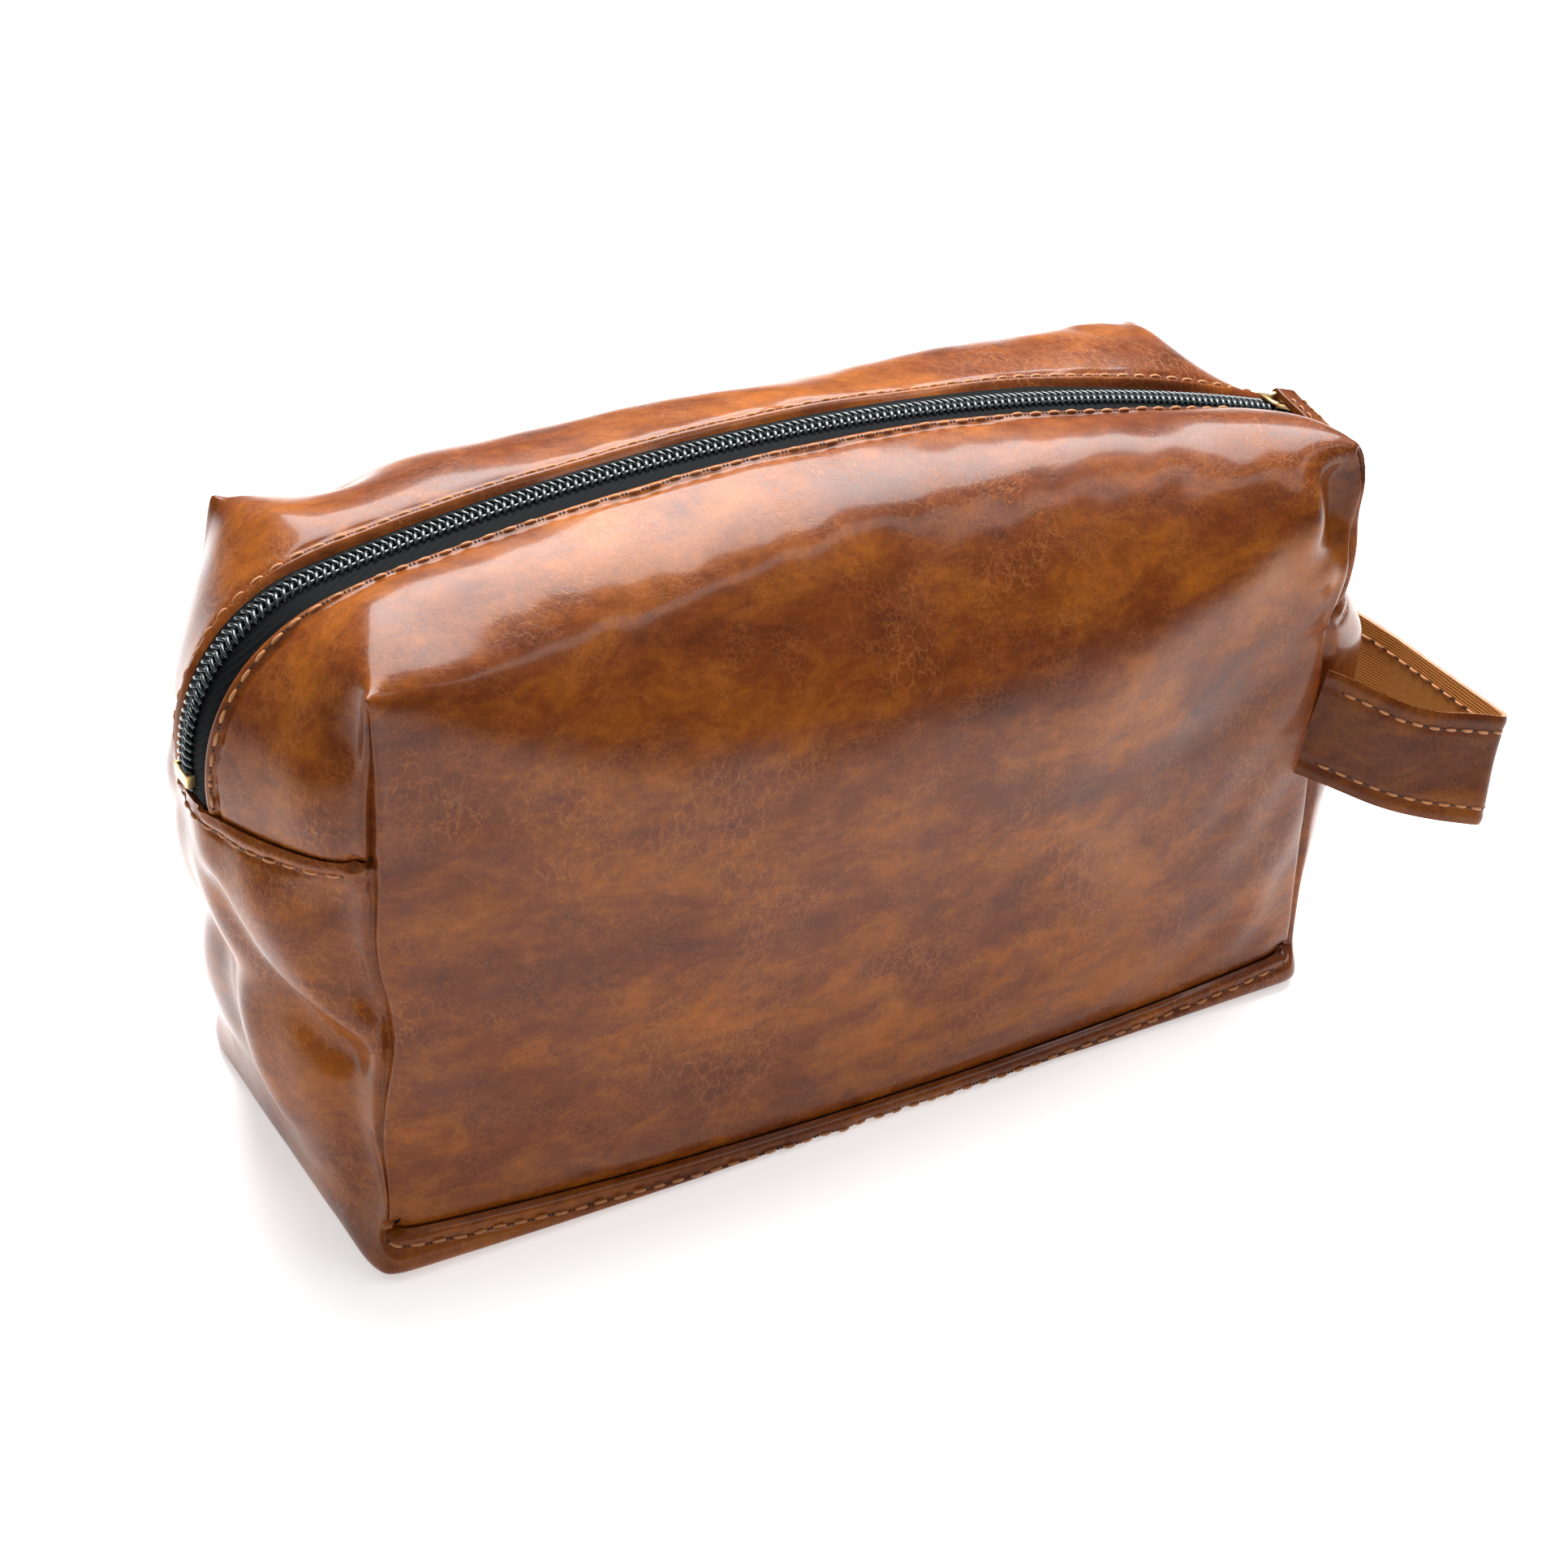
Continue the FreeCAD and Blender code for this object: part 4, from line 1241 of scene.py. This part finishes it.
def seam_path(body, seam, kind, side):
    """Ordered points and outward directions of one seam: a corner, an end or a base seam."""
    chosen = sorted(seam)
    points = coords(body)[chosen]
    ways = normals_of(body)[chosen]
    on_face = np.abs(points[:, 1]) > FACE_Y - 3
    if kind == "base":
        mask = on_face & (points[:, 1] * side > 0) & (points[:, 2] < 16)
        mask &= np.abs(points[:, 0]) < SEAM_X + 1
        order = points[mask][:, 0]
    elif kind == "end":
        mask = (points[:, 0] * side > SEAM_X - 8) & (points[:, 2] > END_SEAM_Z - 14)
        mask &= (np.abs(points[:, 1]) < FACE_Y - 1.5) & (points[:, 2] < END_SEAM_Z + 3)
        order = points[mask][:, 1]
    else:
        mask = (points[:, 0] * side[0] > SEAM_X - 6) & on_face & (points[:, 1] * side[1] > 0)
        mask &= points[:, 2] > 10
        order = points[mask][:, 2]
    order = np.argsort(order)
    return points[mask][order], ways[mask][order]


def base_stitches(body, seam, leather):
    """Rows of stitches on the base piece, just outside its seams."""
    tree = tree_of(leather)
    drop = np.array([0, 0, -BASE_SEW_DROP])
    for kind, words in (("base", SIDE_WORDS), ("end", END_WORDS)):
        for side, word in words.items():
            path, _ = seam_path(body, seam, kind, side)
            outward = np.array([0, side, 0]) if kind == "base" else np.array([side, 0, 0])
            line = resample(path, 2.0)[2:-2] + drop
            line, ways = surface_path(tree, line, np.tile(outward, (len(line), 1)), 15.0)
            stitch_row("%s_%s_stitches" % (word, kind), line, ways, "bag",
                       ["%s_%s_thread" % (word, kind)])


def binding(name, body, seam, kind, side):
    """Binding tape folded over a seam's allowance, standing into the bag."""
    path, ways = seam_path(body, seam, kind, side)
    clear = np.abs(path[:, 0]) < SEAM_X - 7 if kind == "base" else path[:, 2] > 20
    path, ways = path[clear], ways[clear]
    pitch = 3.0
    even = resample(path, pitch)
    length = running(path)
    runs = np.arange(pitch / 2, length[-1], pitch)
    inward = -sample(ways, length, runs)
    inward /= np.linalg.norm(inward, axis=1, keepdims=True)
    sway = 0.5 * np.sin(runs / 11.0)
    rows = []
    nearest, span = 4.2, 6
    for depth in (nearest, 5.6, 7.2, 8.8, 10.2):
        lean = np.cross(inward, np.gradient(even, axis=0))
        lean /= np.linalg.norm(lean, axis=1, keepdims=True)
        rows.append(even + inward * depth + lean * (sway * (depth - nearest) / span)[:, None])
    rows = np.array(rows)
    clear_of_floor = 1.3
    rows[..., 2] += max(0.0, clear_of_floor - rows[..., 2].min())
    net = Net()
    net.grid(rows, 0, False)
    tape = make_object(name, net.verts, net.faces)
    thicken(tape, 1.9, 0.0)
    shade(tape)
    finish_piece(tape, [BINDING], "bag", [name[:-5]])


def bindings(body, seam):
    for side, word in SIDE_WORDS.items():
        binding(word + "_base_binding_tape", body, seam, "base", side)
        for side_x, word_x in END_WORDS.items():
            binding("%s_%s_binding_tape" % (word, word_x), body, seam, "corner", (side_x, side))
    for side_x, word_x in END_WORDS.items():
        binding(word_x + "_end_binding_tape", body, seam, "end", side_x)


# ---------------------------------------------------------------- slider, pull and stops

PARK = math.atan2(box_mm("zip_slider")[0][0] + box_mm("zip_slider")[1][0] - 2 * ARCH_X,
                  box_mm("zip_slider")[0][2] + box_mm("zip_slider")[1][2] - 2 * ARCH_Z)
PARK_NORMAL = np.array([math.sin(PARK), 0, math.cos(PARK)])
BAR_N = 3.3  # the bail's bar, above the zip's arc


def placed(points, centre, tangent, normal):
    """Carry (along, across, above) points to a place on the zip."""
    points = np.asarray(points, float)
    across = np.array([0, 1.0, 0])
    return centre + points[:, :1] * tangent + points[:, 1:2] * across + points[:, 2:] * normal


def parked(points):
    """Carry (along, across, above) points to the closed slider's place on the arc."""
    tangent = np.array([math.cos(PARK), 0, -math.sin(PARK)])
    centre = np.array([ARCH_X, 0, ARCH_Z]) + ARCH_R * PARK_NORMAL
    return placed(points, centre, tangent, PARK_NORMAL)


def slab(outline, low, high):
    """A flat plate with the given (along, across) outline, with its rims drawn in a little."""
    outline = np.asarray(outline, float)
    middle = outline.mean(0)
    verts = []
    rim = 0.22
    levels = ((low, 0.93), (low + rim, 1.0), (high - rim, 1.0), (high, 0.93))
    for level, share in levels:
        ring = middle + (outline - middle) * share
        verts.extend(np.array([x, y, level]) for x, y in ring)
    return verts, skin(len(levels), len(outline))


def slider_outline():
    """Half the width of the plate at places along it: wide in front, waisted at the back."""
    along = np.linspace(-5.4, 5.4, 19)
    half = np.interp(along, [-5.4, -4.6, -2.0, 1.5, 4.4, 5.4], [2.9, 3.7, 3.6, 4.5, 4.6, 3.4])
    upper = np.stack([along, half], 1)
    return np.concatenate([upper[::-1], upper * (1, -1)])


def slider():
    outline = slider_outline()
    parts = [slab(outline, 1.15, 2.05), slab(outline, -2.5, -1.75)]
    post = [(4.6, 1.0), (2.2, 1.2), (1.2, 0.2), (1.2, -0.2), (2.2, -1.2), (4.6, -1.0)]
    parts.append(slab(post, -1.9, 1.3))
    for side in (-1, 1):
        flange = [(-4.2, side * 3.0), (1.2, side * 4.2), (1.2, side * 3.6), (-4.2, side * 2.5)]
        parts.append(slab(flange[::side], 0.55, 1.3))
    bend = np.linspace(0, math.pi, 15)
    bail = np.stack([-4.3 * np.cos(bend), 0 * bend, 1.6 + (BAR_N - 1.6) * np.sin(bend) ** 0.45], 1)
    parts.append(lathe_tube(bail, 0.72, 10, False))
    verts, faces = gather(parts)
    obj = make_object("slider_metal", list(parked(np.array(verts))), faces)
    shade(obj, 40)
    finish_piece(obj, [BRASS], "slider", ["zip_slider", "slider_bail"])


PULL_TILT = 0.15  # the pull rests on the leather, tip down
PULL_LENGTH = 26.0
PULL_EYE_R = 1.4


def tilted(points):
    """Lower (across, above) points of the pull towards its tip."""
    return [(y, n + PULL_TILT * min(y + 1.5, 0.0)) for y, n in points]


def pull_section():
    """Outline of the pull seen along the zip: a strip taken round the bar and sewn to itself."""
    around = np.linspace(math.radians(118), math.radians(-118), 17)
    eye = [(PULL_EYE_R * math.cos(a), BAR_N + PULL_EYE_R * math.sin(a)) for a in around]
    lower = [(y, BAR_N - 0.95 - 0.1 * math.sin(-y / 3.1)) for y in np.linspace(-3.2, -25.6, 16)]
    tip = [(-PULL_LENGTH, BAR_N - 0.5), (-PULL_LENGTH, BAR_N + 0.4)]
    upper = [(y, BAR_N + 0.85 + 0.12 * math.sin(-y / 4.0)) for y in np.linspace(-25.6, -3.2, 16)]
    return tilted(eye + lower + tip + upper)


def pull():
    section = pull_section()
    middle = np.array([-12.0, BAR_N - 10.5 * PULL_TILT])
    verts = []
    shares = ((-3.0, 0.80), (-2.75, 0.95), (-2.0, 1.0), (0.0, 1.0),
              (2.0, 1.0), (2.75, 0.95), (3.0, 0.80))
    for along, share in shares:
        for y, n in section:
            verts.append((along, middle[0] + (y - middle[0]) * (0.985 + 0.015 * share),
                          n + (middle[1] + PULL_TILT * (y - middle[0]) - n) * (1 - share)))
    faces = skin(len(shares), len(section))
    strip = make_object("pull_strap", list(parked(verts)), faces)
    with opened(strip.data) as work:
        bmesh.ops.recalc_face_normals(work, faces=work.faces)
    shade(strip, 55)
    finish_piece(strip, [STRAP_LEATHER], "pull", ["zip_pull"])
    pull_stitches()


def pull_stitches():
    """Two rows of fine stitches along the top of the pull."""
    parts = []
    for along in (-1.9, 1.9):
        rise = [(y, BAR_N + 0.98 + 0.12 * math.sin(-y / 4.0)) for y in np.linspace(-4.0, -24.2, 30)]
        path = parked([(along, y, n) for y, n in tilted(rise)])
        parts.append(stitches(path, np.tile(PARK_NORMAL, (30, 1)), 3.4, 0.27))
    verts, faces = gather(parts)
    sewn = make_object("pull_stitches", verts, faces)
    shade(sewn, 80)
    finish_piece(sewn, [THREAD], "pull", ["pull_thread"])


def stop(node):
    """A small metal clamp pressed over the zip where it starts or ends."""
    low, high = box_mm(node)
    centre = (low + high) / 2
    nearest = np.argmin(np.hypot(ZIP_POINTS[:, 0] - centre[0], ZIP_POINTS[:, 1] - centre[2]))
    place, normal = zip_at(ZIP_LENGTH[nearest])
    tangent = np.cross(np.array([0, 1.0, 0]), normal[0])
    outline = [(-1.5, -3.4), (-1.0, -3.7), (1.0, -3.7), (1.5, -3.4),
               (1.5, 3.4), (1.0, 3.7), (-1.0, 3.7), (-1.5, 3.4)]
    parts = [slab(outline, 0.75, 1.35)]
    for side in (-1, 1):
        leg = [(-1.5, side * 3.75), (1.5, side * 3.75), (1.5, side * 3.0), (-1.5, side * 3.0)]
        parts.append(slab(leg[::side], -1.5, 1.2))
    verts, faces = gather(parts)
    world = placed(verts, place[0], tangent, normal[0])
    obj = make_object(node + "_clamp", list(world), faces)
    shade(obj, 40)
    finish_piece(obj, [BRASS], "bag", [node])


# ---------------------------------------------------------------- carry loop

STRAP_Z = 76.4
STRAP_HALF = 13.9
STRAP_PIVOT = 128.0
STRAP_STEP = 0.8
DROOP = math.radians(15)
STRAP_ROUTE = ((120.5, -47.2), (125.5, -52.2), (135.0, -59.8), (149.0, -66.4), (163.6, -69.8),
               (165.0, -27.0), (161.5, 6.0), (151.5, 36.0), (136.0, 47.8), (120.5, 48.4))


def strap_line():
    """The strap's path seen from above, with a sharp fold at its tip and a softer one behind."""
    route = np.array(STRAP_ROUTE)
    line = resample(np.column_stack([route, np.zeros(len(route))]), STRAP_STEP)[:, :2]
    tip = np.linalg.norm(line - route[4], axis=1)
    crease = np.linalg.norm(line - route[5], axis=1)
    weight = smooth(0.8, 6, tip) * smooth(0.3, 5, crease)
    weight = 0.5 * np.maximum(weight, 0.06)
    for _ in range(120):
        inner = (line[:-2] + line[2:]) / 2
        line[1:-1] += weight[1:-1, None] * (inner - line[1:-1])
    return line


def droop(points):
    """Let the strap hang: turn it down about the line where it is sewn in."""
    along = points[:, 0] - STRAP_PIVOT
    high = points[:, 2] - STRAP_Z
    x = STRAP_PIVOT + along * math.cos(DROOP) + high * math.sin(DROOP)
    z = STRAP_Z - along * math.sin(DROOP) + high * math.cos(DROOP)
    lean = 0.16 * (points[:, 2] - STRAP_Z) * smooth(128, 160, points[:, 0])
    return np.column_stack([x, points[:, 1] + lean, z - 1.6 * smooth(126, 150, x)])


def strap_surface(offset, half, channels):
    """Points (across x along x 3) of a strap surface, offset outwards from the strap's line."""
    line = strap_line()
    tangent = np.gradient(line, axis=0)
    tangent /= np.linalg.norm(tangent, axis=1, keepdims=True)
    outward = np.column_stack([tangent[:, 1], -tangent[:, 0]])
    run = np.arange(len(line)) * STRAP_STEP
    rows = []
    for high in np.linspace(-half, half, 27):
        edge = half - abs(high)
        press = -0.30 * bump(edge, 3.8, 0.8) - 0.45 * bump(edge, 0.0, 0.9) if channels else 0.0
        soft = 0.35 * math.sin(high / 5.0 + 0.6) * np.sin(run / 13.0)
        out = offset + press + soft + 0.5 * (high / STRAP_HALF) ** 2
        place = line + outward * out[:, None]
        lift = 0.35 * np.sin(run / 17.0 + 0.8) - 2.0 * bump(run, 22.0, 14.0)
        rows.append(np.column_stack([place, STRAP_Z + high + lift]))
    shape = np.array(rows).shape
    return droop(np.array(rows).reshape(-1, 3)).reshape(shape)


def strap_piece(name, surface, thickness, materials, replaced):
    net = Net()
    net.grid(surface, 0, False)
    obj = make_object(name, net.verts, net.faces)
    solid = obj.modifiers.new("thickness", "SOLIDIFY")
    solid.thickness = thickness * MM
    solid.offset = -1
    solid.material_offset_rim = len(materials) - 1
    obj.data.materials.append(materials[0])
    obj.data.materials.append(materials[-1])
    apply_modifiers(obj)
    index = np.zeros(len(obj.data.polygons), int)
    obj.data.polygons.foreach_get("material_index", index)
    shade(obj, 50)
    finish_piece(obj, materials, "bag", replaced)
    obj.data.polygons.foreach_set("material_index", index)
    bend_with_loop(obj)


def bend_with_loop(obj):
    """Sewn into the bag at the seam and free beyond it."""
    obj.parent = None
    del obj["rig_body"]
    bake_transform(obj, "bag", "loop", (0.1225, 0, 0), (0.134, 0, 0))


def carry_loop():
    outer = strap_surface(1.2, STRAP_HALF, True)
    strap_piece("strap_leather", outer, 1.2, [STRAP_LEATHER, RAW_EDGE],
                ["loop_leather", "loop_front_tab", "loop_back_tab"])
    inner = strap_surface(-0.05, STRAP_HALF - 0.5, False)
    strap_piece("strap_twill", inner, 0.5, [STRAP_TWILL], ["loop_lining"])
    for row, word in ((4, "lower"), (22, "upper")):
        path = outer[row]
        tangent = np.gradient(path, axis=0)
        across = outer[row + 1] - outer[row - 1]
        ways = np.cross(tangent, across)
        ways /= np.linalg.norm(ways, axis=1, keepdims=True)
        path, ways = path[6:-6], ways[6:-6]
        obj = stitch_row("strap_%s_stitches" % word, path, ways, "bag",
                         ["loop_%s_thread" % word], 4.6, 0.40)
        bend_with_loop(obj)
        lining = stitch_row("strap_%s_inner_stitches" % word, path - ways * 1.85, -ways, "bag",
                            (), 4.6, 0.34)
        bend_with_loop(lining)


# ---------------------------------------------------------------- floor, light and camera

def camera():
    """The camera stands at the front left, above, and leans a little."""
    azimuth, elevation, roll = (math.radians(a) for a in (-31.47, 31.60, 2.86))
    target = Vector((0.0012, 0.0, 0.0661))
    back = Vector((math.sin(azimuth) * math.cos(elevation),
                   -math.cos(azimuth) * math.cos(elevation), math.sin(elevation)))
    right = (-back).cross(Vector((0, 0, 1))).normalized()
    up = right.cross(-back)
    leaning_right = right * math.cos(roll) + up * math.sin(roll)
    leaning_up = up * math.cos(roll) - right * math.sin(roll)
    data = bpy.data.cameras.new("camera")
    data.sensor_width = 36
    data.lens = 70.9
    data.clip_start = 0.01
    data.clip_end = 50
    data.dof.use_dof = False
    obj = linked("camera", data)
    turn = Matrix((leaning_right, leaning_up, back)).transposed().to_4x4()
    distance = 0.7388
    obj.matrix_world = Matrix.Translation(target + back * distance) @ turn
    bpy.context.scene.camera = obj


def area_light(name, place, aim, size, power):
    data = bpy.data.lights.new(name, "AREA")
    data.shape = "RECTANGLE"
    data.size, data.size_y = size
    data.energy = power
    obj = linked(name, data)
    obj.location = place
    obj.rotation_euler = (Vector(aim) - Vector(place)).to_track_quat("-Z", "Y").to_euler()


def floor_material():
    """White around the bag, and greyer far in front, where only its reflection is seen."""
    made, tree, shader = new_material("white floor")
    place = add(tree, "ShaderNodeTexCoord").outputs["Object"]
    ahead = add(tree, "ShaderNodeVectorMath", {0: place, 1: (0.35, -0.94, 0.0)},
                operation="DOT_PRODUCT").outputs["Value"]
    tree.links.new(ramp(tree, ahead, ((0.32, grey(0.93)), (0.75, grey(0.40)))),
                   shader.inputs["Base Color"])
    shader.inputs["Roughness"].default_value = 0.7
    shader.inputs["Emission Color"].default_value = (1, 1, 1, 1)
    shader.inputs["Emission Strength"].default_value = 0.5
    return made


def soft_world():
    """Dim at the horizon and brighter overhead."""
    world = bpy.data.worlds.new("soft white")
    world.use_nodes = True
    tree = world.node_tree
    place = add(tree, "ShaderNodeTexCoord").outputs["Generated"]
    height = add(tree, "ShaderNodeSeparateXYZ", {"Vector": place}).outputs["Z"]
    tree.links.new(ramp(tree, height, ((0.15, grey(0.30)), (0.75, grey(0.75)))),
                   tree.nodes["Background"].inputs["Color"])
    tree.nodes["Background"].inputs["Strength"].default_value = 0.62
    return world


def studio():
    """A pale floor under soft light from above and behind."""
    mesh = bpy.data.meshes.new("floor")
    half = 6.0
    mesh.from_pydata([(-half, -half, 0), (half, -half, 0), (half, half, 0), (-half, half, 0)],
                     [], [(0, 1, 2, 3)])
    floor = linked("floor", mesh)
    mesh.materials.append(floor_material())
    bpy.context.scene.world = soft_world()
    area_light("overhead", (0.26, 0.42, 1.0), (0, 0, 0.1), (1.05, 0.85), 38.0)
    area_light("ridge_strip", (0.50, -0.42, 0.90), (0, 0, 0.12), (0.8, 0.14), 1.6)
    scene = bpy.context.scene
    scene.view_settings.view_transform = "Standard"
    scene.view_settings.look = "None"
    scene.view_settings.exposure = 0.0


# ---------------------------------------------------------------- build

net = body_net()
body = make_object("body_net", net.verts, net.faces)
weld(body, net.panels)
seam, lip, dart = shape_body(body)
lines = seam_lines(body, seam, lip, dart)
pieces = leather_panels(body, lines)
place_panels(pieces)
for side in (-1, 1):
    finish_half(zip_tape(side), side, TAPE, "zip_tape")
    finish_half(zip_coil(side), side, COIL, "zip_coil")
    zip_stitches(side, pieces[SIDE_WORDS[side], False])
base_stitches(body, seam, pieces["base", False])
bindings(body, seam)
bpy.data.objects.remove(body)
slider()
pull()
stop("zip_bottom_stop")
stop("zip_top_stop")
carry_loop()

studio()
camera()
